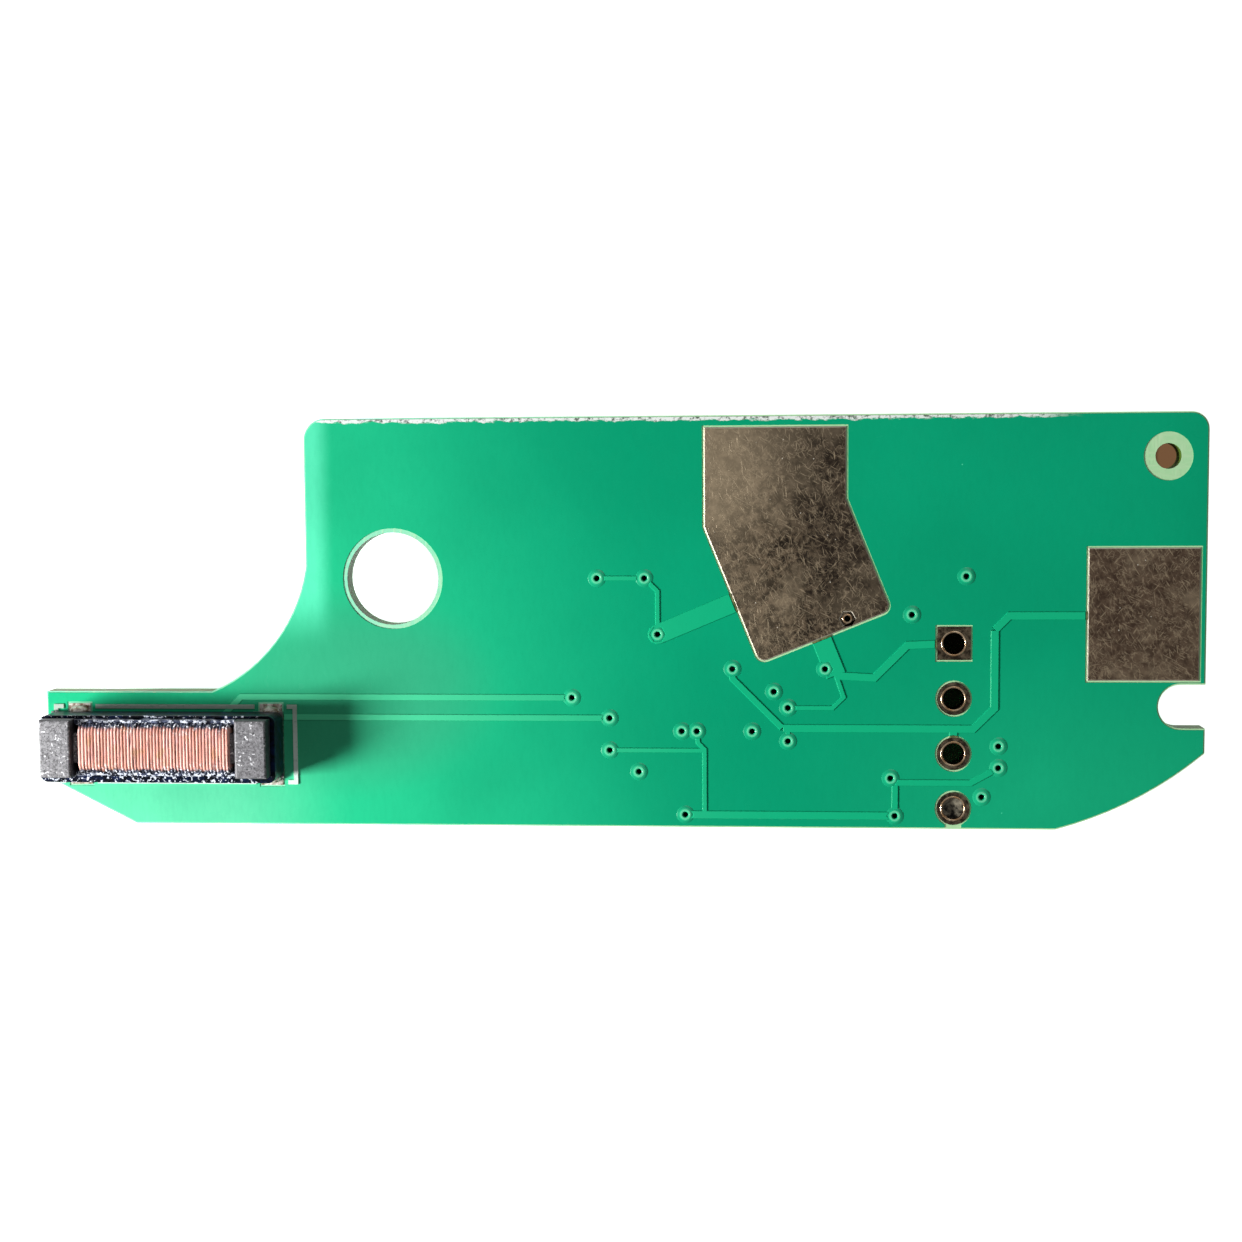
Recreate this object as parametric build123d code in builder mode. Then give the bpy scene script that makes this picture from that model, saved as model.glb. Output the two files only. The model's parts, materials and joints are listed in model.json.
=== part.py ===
# Circuit board of a folding car key, lying on the plungers of its three push switches.
# Millimetres. Plans are drawn from the centre line of the middle switch and the board's
# lower edge; the part's own origin is below the middle of the board, on the surface that
# the plungers stand on.
import os
from math import atan2, cos, degrees, radians, sin

from build123d import *

# ---- board ----
arm_length = 12.6
switch_inset = 11.6
switch_pitch = 11.4
nose_reach = 6.9
lower_band = 8.7
upper_band = 10.35
board_left = -(switch_pitch + switch_inset + arm_length)
board_right = switch_pitch + nose_reach
board_width = lower_band + upper_band
body_left = board_left + arm_length
board_thickness = 1.2
copper = 0.05
mask_thickness = 0.03
mask_over_copper = 0.02
mask_edge_gap = 0.07
mask_pad_gap = 0.08
legend_thickness = 0.02
legend_line = 0.2

arm_width = 6.3
arm_chamfer_length = 4.2
arm_chamfer_rise = 2.15
recess_radius = 7.7
recess_foot_slope = 67.2
recess_head_slope = 9.25
shoulder_radius = 1.0
top_corner_radius = 0.8
nose_length = 6.65
nose_rise = 3.55
nose_radius = 17.0
notch_width = 2.0
notch_depth = 2.1
notch_rise = 2.15

# ---- drilled holes ----
post_hole_radius = 2.15
post_hole_inset = 4.1
post_hole_drop = 7.45
post_mask_gap = 0.2
locating_hole_radius = 0.58
locating_ring_radius = 1.1
locating_hole_inset = 1.8
locating_hole_drop = 2.0
program_hole_radius = 0.52
program_pad_width = 1.52
program_pitch = 2.54
program_count = 4
program_x = 7
program_edge = 0.96
plating = 0.05
plug_sag = 0.2
plug_bulge = 0.15

via_hole_radius = 0.15
via_ring_radius = 0.3
via_sides = 6
barrel_sides = 12
land_sides = 24
vias = {
    "link_left": (-9.35, 11.6),
    "link_right": (-7.15, 11.6),
    "tab": (-6.55, 9.0),
    "ground_upper": (7.55, 11.65),
    "ground_middle": (5.1, 9.9),
    "ground_left": (-1.2, 6.35),
    "ground_lower": (-2.2, 4.5),
    "ground_chip": (-7.45, 2.6),
    "ground_right": (8.3, 1.5),
    "supply_start": (-3.1, 7.4),
    "supply_branch": (-0.55, 4.05),
    "return_tab": (1.15, 7.4),
    "return_end": (-0.55, 5.6),
    "coil_far": (-10.55, 6.05),
    "coil_near": (-8.8, 5.1),
    "rise_start": (-8.8, 3.6),
    "pair_left": (-5.45, 4.5),
    "pair_right": (-4.75, 4.5),
    "rail_left": (-5.3, 0.6),
    "rail_right": (4.35, 0.6),
    "rail_top": (4.15, 2.35),
    "data_upper": (9.05, 3.85),
    "data_lower": (9.05, 2.85),
}

# ---- battery contact pads ----
contact_width = 6.5
contact_x = -4.4
contact_drop = 0.55
contact_straight = 3.3
contact_leg = 5.5
contact_turn = 22.0
contact_corner = 0.4
edge_contact_width = 5.0
edge_contact_height = 6.05
edge_contact_inset = 0.3
edge_contact_rise = 4.2

# ---- tracks ----
fine_track = 0.2
plain_track = 0.28
wide_track = 0.35
tab_width = 0.9
tab_overlap = 0.4
tab_length = 1.85
tab_left_share = 0.45
tab_lower_share = 0.47
via_set_in = 2.0
loop_track = 1.0

# ---- coil ----
coil_length = 11.15
coil_width = 3.14
coil_height = 2.5
coil_inset = 0.25
coil_drop = 2.5
coil_corner = 0.35
coil_wall = 0.22
coil_floor = 0.35
coil_wall_height = 1.6
core_end_length = 1.5
core_shift = 0.09
core_bar_width = 1.4
core_bar_height = 1.1
core_edge = 0.08
winding_gap = 0.3
winding_drop = 0.15
winding_side_gap = 0.12
winding_round = 0.45
coil_terminal_length = 1.4
coil_terminal_thickness = 0.15
coil_land_length = 1.05
coil_land_width = 3.85
coil_land_inset = 0.45
coil_land_shift = 0.375
coil_legend_end_gap = 0.175
coil_legend_side_gap = 0.22
coil_legend_land_gap = 0.25

# ---- push switches ----
switch_width = 5.2
switch_corner = 0.5
switch_height = 2.0
switch_body_height = 1.5
switch_well_radius = 1.9
switch_well_floor = 0.55
cover_thickness = 0.15
cover_skirt = 0.8
plunger_radius = 1.15
plunger_flange_width = 2.6
plunger_flange_height = 0.3
plunger_edge = 0.1
plunger_play = 0.05
plunger_side_gap = 0.1
dome_radius = 1.7
dome_shoulder = 0.9
dome_sides = 16
dome_sheet = 0.06
contact_sheet = 0.05
contact_dot_width = 0.8
contact_bar_width = 0.4
leg_spacing = 3.7
leg_width = 0.7
leg_reach = 0.6
leg_sheet = 0.15
leg_rise = 0.6

# ---- controller chip ----
chip_x = -5.8
chip_drop = 3.9
chip_length = 6.5
chip_width = 4.4
chip_height = 1.0
chip_draft = 8.0
chip_mark_radius = 0.35
chip_mark_inset = 1.0
chip_mark_depth = 0.05
lead_pitch = 0.65
lead_pairs = 10
lead_width = 0.22
lead_sheet = 0.13
lead_reach = 1.0
lead_foot = 0.55

# ---- crystal ----
crystal_x = 1.9
crystal_y = 2.9
crystal_length = 3.2
crystal_width = 2.5
crystal_base_height = 0.45
crystal_lid_height = 0.25
crystal_lid_inset = 0.15
crystal_corner = 0.3
crystal_land_length = 1.0
crystal_land_width = 0.9
crystal_legend_gap = 0.4

# ---- chip components: x, y, turn of the long side ----
stand_off = 0.1
chip_part_length = 1.6
chip_part_width = 0.8
end_cap = 0.35
capacitor_height = 0.8
capacitor_skin = 0.02
resistor_height = 0.45
resistor_film = 0.05
inductor_height = 0.9
inductor_wire = 0.12
radio_drop = 4.85
pull_up_drop = 5.65
capacitors = [
    (-17, 2.2, 0),
    (-10.6, 4.3, 0),
    (-3.7, 2.7, 90),
    (-2.3, 2.5, 90),
    (-11.1, board_width - 5.45, 90),
    (-11.1, board_width - 2.65, 90),
    (-0.3, board_width - 2.45, 90),
    (3.4, board_width - 2.85, 0),
    (12.4, 3.6, 0),
]
resistors = [
    (-10.4, 1.2, 0),
    (-10.4, 2.7, 0),
    (-7.3, 1.1, 0),
    (-7, 4.4, 90),
    (-0.3, board_width - pull_up_drop, 90),
    (1.1, board_width - pull_up_drop, 90),
    (12.4, 2.0, 0),
]
inductors = [
    (3.6, board_width - radio_drop, 0),
    (6.8, board_width - radio_drop, 0),
    (-17, 4.2, 0),
]
transistor_x = -14
transistor_y = 3.2
transistor_length = 2.9
transistor_width = 1.3
transistor_height = 0.95
transistor_lead_pitch = 1.9
transistor_lead_width = 0.4
transistor_span = 2.4
transistor_land_length = 0.8
land_margin = 0.15

# ---- places that follow ----
notch_y = nose_rise + notch_rise
post_hole_x = body_left + post_hole_inset
post_hole_y = board_width - post_hole_drop
locating_hole_x = board_right - locating_hole_inset
locating_hole_y = board_width - locating_hole_drop
program_y = program_edge + (program_count - 1) * program_pitch
contact_top = board_width - contact_drop
edge_contact_x = board_right - edge_contact_inset - edge_contact_width / 2
edge_contact_y = notch_y + edge_contact_rise
coil_x = board_left + coil_inset + coil_length / 2
coil_y = arm_width - coil_drop
chip_y = board_width - chip_drop
lead_span = chip_width + 2 * lead_reach

# ---- levels above the resting surface ----
board_bottom = switch_height + copper
board_top = board_bottom + board_thickness
land_level = board_bottom - copper

os.makedirs("parts", exist_ok=True)


def at(height):
    return Plane(origin=(-(board_left + board_right) / 2, -board_width / 2, height))


def under(depth):
    # plane facing the button side, depth below the lands that the components stand on
    return at(land_level - depth)


def save(part, name):
    part.label = name
    export_step(part, f"parts/{name}.step")


def along(turn):
    # unit steps along and across a direction given in degrees
    angle = radians(turn)
    return Vector(cos(angle), sin(angle)), Vector(-sin(angle), cos(angle))


# ---- shared plans ----
program_spots = [(program_x, program_y - step * program_pitch) for step in range(program_count)]
switch_spots = [(step * switch_pitch, lower_band) for step in (-1, 0, 1)]
notch_x = board_right - notch_depth + notch_width / 2

foot_angle = radians(recess_foot_slope)
head_angle = radians(recess_head_slope)
recess_foot = body_left + recess_radius * (cos(foot_angle) - cos(head_angle))
recess_head = arm_width + recess_radius * (sin(foot_angle) - sin(head_angle))

with BuildSketch() as board_plan:
    with BuildLine():
        Polyline(
            (board_left + arm_chamfer_length, 0),
            (board_left, arm_chamfer_rise),
            (board_left, arm_width),
            (recess_foot, arm_width),
        )
        RadiusArc((recess_foot, arm_width), (body_left, recess_head), -recess_radius)
        Polyline(
            (body_left, recess_head),
            (body_left, board_width),
            (board_right, board_width),
            (board_right, nose_rise),
        )
        RadiusArc((board_right, nose_rise), (board_right - nose_length, 0), nose_radius)
        Line((board_right - nose_length, 0), (board_left + arm_chamfer_length, 0))
    make_face()
    fillet(board_plan.vertices().sort_by_distance((body_left, board_width))[0], shoulder_radius)
    fillet(board_plan.vertices().sort_by_distance((board_right, board_width))[0], top_corner_radius)
    SlotCenterPoint((board_right, notch_y), (notch_x, notch_y), notch_width, mode=Mode.SUBTRACT)

cross_step, up_step = along(contact_turn)
down_step = -up_step
contact_knee = Vector(contact_x + contact_width, contact_top - contact_straight)
contact_toe = contact_knee + down_step * contact_leg
contact_heel = contact_toe - cross_step * contact_width
contact_rejoin = contact_heel - down_step * ((contact_heel.X - contact_x) / down_step.X)

vias["ground_pad"] = contact_toe - cross_step * via_set_in - down_step * tab_overlap
via_spots = list(vias.values())

with BuildSketch() as contact_plan:
    with BuildLine():
        Polyline(
            (contact_x, contact_top),
            (contact_x + contact_width, contact_top),
            contact_knee,
            contact_toe,
            contact_heel,
            contact_rejoin,
            close=True,
        )
    make_face()
    fillet(contact_plan.vertices().sort_by(Axis.Y)[:2], contact_corner)

with BuildSketch() as edge_contact_plan:
    with Locations((edge_contact_x, edge_contact_y)):
        Rectangle(edge_contact_width, edge_contact_height)

# the coil stands a little off the middle of its lands
land_centre_x = coil_x + coil_land_shift
coil_land_x = coil_length / 2 - coil_land_inset - coil_land_length / 2
coil_land_spots = [(land_centre_x + side * coil_land_x, coil_y) for side in (-1, 1)]


def track_side(points, reach):
    # one side of a track: its middle line set out sideways, mitred at each bend
    steps = [(end - start).normalized() for start, end in zip(points, points[1:])]
    side = []
    for point, before, after in zip(points, steps[:1] + steps, steps + steps[-1:]):
        across = Vector(-before.Y - after.Y, before.X + after.X)
        side.append(point + across * (2 * reach / across.length**2))
    return side


def tracks_plan(routes, spread):
    with BuildSketch() as plan:
        for width, points in routes:
            middle = [Vector(*point) for point in points]
            reach = width / 2 + spread
            with BuildLine():
                Polyline(*track_side(middle, reach), *reversed(track_side(middle, -reach)), close=True)
            make_face()
            if width == tab_width:
                # wide tabs start with a round end
                with Locations(middle[0]):
                    RegularPolygon(reach, barrel_sides, rotation=contact_turn)
    return plan.sketch


def rings_plan(radius):
    with BuildSketch() as plan:
        with Locations(*via_spots):
            RegularPolygon(radius, via_sides, major_radius=False)
    return plan.sketch


def program_plan(spread):
    # square land at the first hole, round ones at the others
    with BuildSketch() as plan:
        with Locations(program_spots[0]):
            Rectangle(program_pad_width + 2 * spread, program_pad_width + 2 * spread)
        with Locations(*program_spots[1:]):
            RegularPolygon(program_pad_width / 2 + spread, land_sides)
    return plan.sketch


def grown(plan, spread):
    with BuildSketch() as wider:
        add(plan)
        offset(amount=spread, kind=Kind.INTERSECTION)
    return wider.sketch


# ---- where the copper runs on the battery side ----
tab_left_end = contact_heel + (contact_rejoin - contact_heel) * tab_left_share
tab_lower_end = contact_heel + (contact_toe - contact_heel) * tab_lower_share
tab_lower_foot = tab_lower_end + down_step * tab_length
pad_side_routes = [
    (fine_track, [vias["link_left"], vias["link_right"], (-6.55, 11.0), vias["tab"]]),
    (tab_width, [vias["tab"], tab_left_end + cross_step * tab_overlap]),
    (tab_width, [tab_lower_end - down_step * tab_overlap, tab_lower_foot]),
    (wide_track, [tab_lower_foot, (3.4, 7.0), (4.9, 8.5), (program_x, program_y)]),
    (fine_track, [tab_lower_foot, (2, 6.1), (1.5, 5.6), vias["return_end"]]),
    (plain_track, [vias["coil_far"], (-26.2, 6.05), (-27, 5.25), (-27, coil_y), coil_land_spots[0]]),
    (plain_track, [vias["coil_near"], (coil_land_spots[1][0], 5.1)]),
    (fine_track, [vias["rise_start"], (-4.4, 3.6)]),
    (fine_track, [vias["pair_right"], (-4.7, 3.95), (-4.4, 3.65), (-4.4, 0.6)]),
    (wide_track, [vias["rail_left"], vias["rail_right"]]),
    (plain_track, [vias["supply_start"], (-3.1, 6.95), (-0.8, 4.65)]),
    (wide_track, [(-0.8, 4.65), (7.9, 4.65), (8.85, 5.6), (8.85, 9.2)]),
    (wide_track, [(8.85, 9.2), (9.5, 9.85), (edge_contact_x, 9.85)]),
    (wide_track, [(program_x, 4.65), program_spots[2]]),
    (fine_track, [(-0.55, 4.65), vias["supply_branch"]]),
    (plain_track, [vias["rail_top"], (4.35, 2.15), (7.8, 2.15), vias["data_lower"]]),
    (plain_track, [(4.35, 2.15), vias["rail_right"]]),
]

# ---- and on the button side ----
loop_inset = 1.1
loop_right = board_right - loop_inset
loop_top = board_width - loop_inset
loop_bend = locating_hole_y - locating_ring_radius - loop_track
chip_row = chip_y - (lead_span - lead_foot) / 2
radio_row = board_width - radio_drop
button_side_routes = [
    (loop_track, [(1.8, loop_top), (14, loop_top), (loop_right, loop_bend), (loop_right, 7.6)]),
    (fine_track, [vias["coil_far"], (-10.55, 5.4), (-11.35, 4.6)]),
    (fine_track, [vias["coil_near"], (-9.2, 4.7), (-9.8, 4.4)]),
    (fine_track, [vias["link_left"], (-9.35, chip_row)]),
    (fine_track, [vias["link_right"], (-7.15, chip_row)]),
    (fine_track, [vias["pair_left"], (-5.45, 5.6), (-4.4, 6.6), (-4.4, 11), (-4.7, 11.4), (-4.7, chip_row)]),
    (fine_track, [vias["pair_right"], (-3.9, 5.35), (-3.9, 11.3), (-4.05, chip_row)]),
    (fine_track, [vias["supply_branch"], (0.3, 3.2)]),
    (fine_track, [vias["ground_upper"], (7.55, radio_row)]),
    (fine_track, [vias["ground_middle"], (5.1, radio_row)]),
    (fine_track, [vias["data_upper"], (10, 3.85), (11.2, 3.6)]),
    (fine_track, [vias["data_lower"], (9.9, 2.0), (11.6, 2.0)]),
    (fine_track, [vias["rail_left"], (-6.7, 0.75)]),
    (fine_track, [vias["rail_top"], (3.5, 2.35)]),
    (fine_track, [(2.65, radio_row), (1.8, radio_row + 0.8), (1.8, loop_top)]),
    (wide_track, [(-16.2, 4.2), (-15.3, 4.2), (-15.1, 6.2), (-13.6, 6.85)]),
]

chip_part_lands = capacitors + resistors + inductors
with BuildSketch() as single_lands_plan:
    for spot in switch_spots:
        with Locations(spot):
            with GridLocations(switch_width + leg_reach, leg_spacing, 2, 2):
                Rectangle(leg_reach + 4 * land_margin, leg_width + 2 * land_margin)
    with Locations((crystal_x, crystal_y)):
        with GridLocations(crystal_length, crystal_width, 2, 2):
            Rectangle(crystal_land_length, crystal_land_width)
    with Locations((transistor_x, transistor_y)):
        with GridLocations(transistor_lead_pitch, 0, 2, 1):
            with Locations((0, -transistor_span / 2)):
                Rectangle(transistor_lead_width + land_margin, transistor_land_length)
        with Locations((0, transistor_span / 2)):
            Rectangle(transistor_lead_width + land_margin, transistor_land_length)

with BuildSketch() as button_lands_plan:
    add(single_lands_plan.sketch)
    with Locations((chip_x, chip_y)):
        with GridLocations(lead_pitch, lead_span - lead_foot, lead_pairs, 2):
            Rectangle(lead_width + land_margin, lead_foot + 2 * land_margin)
    for x, y, turn in chip_part_lands:
        step, _ = along(turn)
        reach = (chip_part_length - end_cap) / 2 + land_margin
        with Locations((x - step.X * reach, y - step.Y * reach), (x + step.X * reach, y + step.Y * reach)):
            Rectangle(end_cap + 2 * land_margin, chip_part_width + land_margin, rotation=turn)
    add(program_plan(mask_pad_gap), mode=Mode.SUBTRACT)

with BuildSketch() as coil_lands_plan:
    with Locations(*coil_land_spots):
        Rectangle(coil_land_length, coil_land_width)

with BuildSketch() as coil_terminals_plan:
    with Locations((coil_x, coil_y)):
        with GridLocations(coil_length - coil_terminal_length, 0, 2, 1):
            Rectangle(coil_terminal_length, coil_width)

# ---- laminate, drilled ----
with BuildPart() as laminate:
    with BuildSketch(at(board_bottom)):
        add(board_plan.sketch)
        with Locations((post_hole_x, post_hole_y)):
            Circle(post_hole_radius, mode=Mode.SUBTRACT)
        with Locations((locating_hole_x, locating_hole_y)):
            Circle(locating_hole_radius, mode=Mode.SUBTRACT)
        with Locations(*program_spots):
            RegularPolygon(program_hole_radius + plating, barrel_sides, mode=Mode.SUBTRACT)
        add(rings_plan(via_ring_radius), mode=Mode.SUBTRACT)
    extrude(amount=board_thickness)
save(laminate.part, "laminate")

# ---- plated holes: small ones as tubes that the mask closes on the button side, large
# ones with a land on each side ----
with BuildPart() as via_barrels:
    with BuildSketch(at(board_bottom)):
        add(rings_plan(via_ring_radius))
        add(rings_plan(via_hole_radius), mode=Mode.SUBTRACT)
    extrude(amount=board_thickness + copper)
save(via_barrels.part, "via_barrels")

for name, spots in (("program_hole_square", program_spots[:1]), ("program_holes_round", program_spots[1:])):
    with BuildPart() as program_holes:
        for level in (board_top, land_level):
            with BuildSketch(at(level)):
                with Locations(*spots):
                    if name == "program_hole_square":
                        Rectangle(program_pad_width, program_pad_width)
                    else:
                        RegularPolygon(program_pad_width / 2, land_sides)
            extrude(amount=copper)
        with BuildSketch(at(board_bottom)):
            with Locations(*spots):
                RegularPolygon(program_hole_radius + plating, barrel_sides)
        extrude(amount=board_thickness)
        with BuildSketch(at(land_level)):
            with Locations(*spots):
                Circle(program_hole_radius)
        extrude(amount=board_thickness + 2 * copper, mode=Mode.SUBTRACT)
    save(program_holes.part, name)

# solder that fills the last programming hole: hollow on top, bulging below
plug_x, plug_y = program_spots[-1]
with BuildPart() as solder_plug:
    with BuildSketch(at(land_level - plug_bulge)):
        with Locations((plug_x, plug_y)):
            Circle(program_hole_radius)
    extrude(amount=board_top - plug_sag - land_level + plug_bulge)
    chamfer(solder_plug.faces().sort_by(Axis.Z)[0].edges(), plug_bulge)
save(solder_plug.part, "solder_plug")

# ---- copper on the two faces ----
with BuildPart() as tracks_pad_side:
    with BuildSketch(at(board_top)):
        add(tracks_plan(pad_side_routes, 0))
        add(rings_plan(via_ring_radius), mode=Mode.SUBTRACT)
        add(program_plan(0), mode=Mode.SUBTRACT)
        add(contact_plan.sketch, mode=Mode.SUBTRACT)
        add(edge_contact_plan.sketch, mode=Mode.SUBTRACT)
        add(coil_lands_plan.sketch, mode=Mode.SUBTRACT)
    extrude(amount=copper)
save(tracks_pad_side.part, "tracks_pad_side")

with BuildPart() as tracks_button_side:
    with BuildSketch(at(board_bottom)):
        add(tracks_plan(button_side_routes, 0))
        add(button_lands_plan.sketch, mode=Mode.SUBTRACT)
    extrude(amount=-copper)
save(tracks_button_side.part, "tracks_button_side")

for name, plan, level in (
    ("battery_pad_angled", contact_plan, board_top),
    ("battery_pad_edge", edge_contact_plan, board_top),
    ("coil_lands", coil_lands_plan, board_top),
    ("component_lands", button_lands_plan, land_level),
):
    with BuildPart() as lands:
        with BuildSketch(at(level)):
            add(plan.sketch)
            if level == board_top:
                add(rings_plan(via_ring_radius), mode=Mode.SUBTRACT)
        extrude(amount=copper)
    save(lands.part, name)


# ---- solder mask: a skin with openings, raised where it covers a track ----
def mask_sheet(level, way, routes, openings, via_openings):
    with BuildPart() as mask:
        with BuildSketch(at(level)):
            add(grown(board_plan.sketch, -mask_edge_gap))
        extrude(amount=way * mask_thickness)
        with BuildSketch(at(level)):
            add(tracks_plan(routes, mask_over_copper))
        extrude(amount=way * (copper + mask_over_copper))
        with BuildSketch(at(level)):
            add(tracks_plan(routes, 0))
        extrude(amount=way * copper, mode=Mode.SUBTRACT)
        with BuildSketch(at(level)):
            for plan in openings:
                add(grown(plan, mask_pad_gap))
            add(program_plan(mask_pad_gap))
            if via_openings:
                add(rings_plan(via_ring_radius))
            with Locations((post_hole_x, post_hole_y)):
                Circle(post_hole_radius + post_mask_gap)
            with Locations((locating_hole_x, locating_hole_y)):
                Circle(locating_ring_radius)
            with Locations((plug_x, plug_y / 2)):
                Rectangle(program_pad_width / 2, plug_y)
        extrude(amount=way * (copper + mask_over_copper), mode=Mode.SUBTRACT)
    return mask.part


# one opening for each row of chip leads and for each chip component
with BuildSketch() as shared_openings_plan:
    with Locations((chip_x, chip_y)):
        with GridLocations(0, lead_span - lead_foot, 1, 2):
            Rectangle((lead_pairs - 1) * lead_pitch + lead_width + land_margin, lead_foot + 2 * land_margin)
    for x, y, turn in chip_part_lands:
        with Locations((x, y)):
            Rectangle(chip_part_length + 4 * land_margin, chip_part_width + land_margin, rotation=turn)

pad_side_openings = [contact_plan.sketch, edge_contact_plan.sketch, coil_lands_plan.sketch]
save(mask_sheet(board_top, 1, pad_side_routes, pad_side_openings, True), "mask_pad_side")
button_side_openings = [single_lands_plan.sketch, shared_openings_plan.sketch]
save(mask_sheet(board_bottom, -1, button_side_routes, button_side_openings, False), "mask_button_side")

# ---- white legend ----
coil_legend_length = coil_length + 2 * coil_legend_end_gap
coil_legend_width = coil_width + 2 * coil_legend_side_gap
with BuildPart() as legend_pad_side:
    with BuildSketch(at(board_top)):
        with Locations((land_centre_x, coil_y)):
            Rectangle(coil_legend_length + legend_line, coil_legend_width + legend_line)
            Rectangle(coil_legend_length - legend_line, coil_legend_width - legend_line, mode=Mode.SUBTRACT)
        add(grown(board_plan.sketch, -mask_edge_gap), mode=Mode.INTERSECT)
        add(grown(coil_lands_plan.sketch, coil_legend_land_gap), mode=Mode.SUBTRACT)
        add(grown(coil_terminals_plan.sketch, mask_over_copper), mode=Mode.SUBTRACT)
    extrude(amount=copper + mask_over_copper + legend_thickness)
    with BuildSketch(at(board_top)):
        add(grown(board_plan.sketch, -mask_edge_gap))
    extrude(amount=mask_thickness, mode=Mode.SUBTRACT)
    with BuildSketch(at(board_top)):
        add(tracks_plan(pad_side_routes, mask_over_copper))
    extrude(amount=copper + mask_over_copper, mode=Mode.SUBTRACT)
save(legend_pad_side.part, "legend_pad_side")

crystal_legend_length = crystal_length + 2 * crystal_legend_gap
crystal_legend_width = crystal_width + 2 * crystal_legend_gap
with BuildPart() as legend_button_side:
    with BuildSketch(at(board_bottom - mask_thickness)):
        for spot in switch_spots:
            with Locations(spot):
                Rectangle(switch_width + 4 * legend_line, switch_width + 4 * legend_line)
                Rectangle(switch_width + 2 * legend_line, switch_width + 2 * legend_line, mode=Mode.SUBTRACT)
        with Locations((crystal_x, crystal_y)):
            Rectangle(crystal_legend_length + legend_line, crystal_legend_width + legend_line)
            Rectangle(crystal_legend_length, crystal_legend_width, mode=Mode.SUBTRACT)
        add(tracks_plan(button_side_routes, 2 * mask_over_copper), mode=Mode.SUBTRACT)
        add(grown(button_lands_plan.sketch, 2 * mask_pad_gap), mode=Mode.SUBTRACT)
    extrude(amount=-legend_thickness)
save(legend_button_side.part, "legend_button_side")

# ---- coil: ferrite core with its winding, in a moulded tray on two end terminals ----
coil_level = board_top + copper
tray_level = coil_level + coil_terminal_thickness
core_level = tray_level + coil_floor
core_length = coil_length - 2 * coil_wall
core_width = coil_width - 2 * coil_wall
core_height = coil_level + coil_height - core_level
winding_length = core_length - 2 * core_end_length - 2 * winding_gap
winding_width = core_width - 2 * winding_side_gap
winding_height = core_height - 2 * winding_drop
coil_axis_level = core_level + core_height / 2
core_y = coil_y + core_shift
coil_centre = at(coil_axis_level).from_local_coords((coil_x, core_y, 0))

with BuildPart() as coil_base:
    with BuildSketch(at(tray_level)):
        with Locations((coil_x, coil_y)):
            RectangleRounded(coil_length, coil_width, coil_corner)
    extrude(amount=coil_wall_height)
    with BuildSketch(at(core_level)):
        with Locations((coil_x, core_y)):
            Rectangle(core_length, core_width)
    extrude(amount=coil_wall_height, mode=Mode.SUBTRACT)
save(coil_base.part, "coil_base")

with BuildPart() as coil_core:
    with BuildSketch(at(core_level)):
        with Locations((coil_x, core_y)):
            with GridLocations(core_length - core_end_length, 0, 2, 1):
                Rectangle(core_end_length, core_width)
    extrude(amount=core_height)
    with BuildSketch(at(coil_axis_level - core_bar_height / 2)):
        with Locations((coil_x, core_y)):
            Rectangle(core_length - core_end_length, core_bar_width)
    extrude(amount=core_bar_height)
    tops = coil_core.faces().sort_by(Axis.Z)[-2:]
    chamfer([edge for face in tops for edge in face.edges()], core_edge)
save(coil_core.part, "coil_core")

with BuildPart() as coil_winding:
    with BuildSketch(Plane(origin=coil_centre, x_dir=(0, 1, 0), z_dir=(1, 0, 0))):
        RectangleRounded(winding_width, winding_height, winding_round)
        Rectangle(core_bar_width, core_bar_height, mode=Mode.SUBTRACT)
    extrude(amount=winding_length / 2, both=True)
save(coil_winding.part, "coil_winding")

with BuildPart() as coil_terminals:
    with BuildSketch(at(coil_level)):
        add(coil_terminals_plan.sketch)
    extrude(amount=coil_terminal_thickness)
save(coil_terminals.part, "coil_terminals")

# ---- push switches, each with base, terminals, snap dome, plunger and cover ----
base_top = switch_body_height - cover_thickness
base_width = switch_width - 2 * cover_thickness
flange_top = base_top - plunger_play
flange_bottom = flange_top - plunger_flange_height
dome_foot = switch_well_floor + contact_sheet
dome_rise = flange_bottom - plunger_play - dome_foot
dome_slope = degrees(atan2(dome_radius - dome_shoulder, dome_rise))
leg_out = switch_width / 2 + leg_sheet

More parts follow.
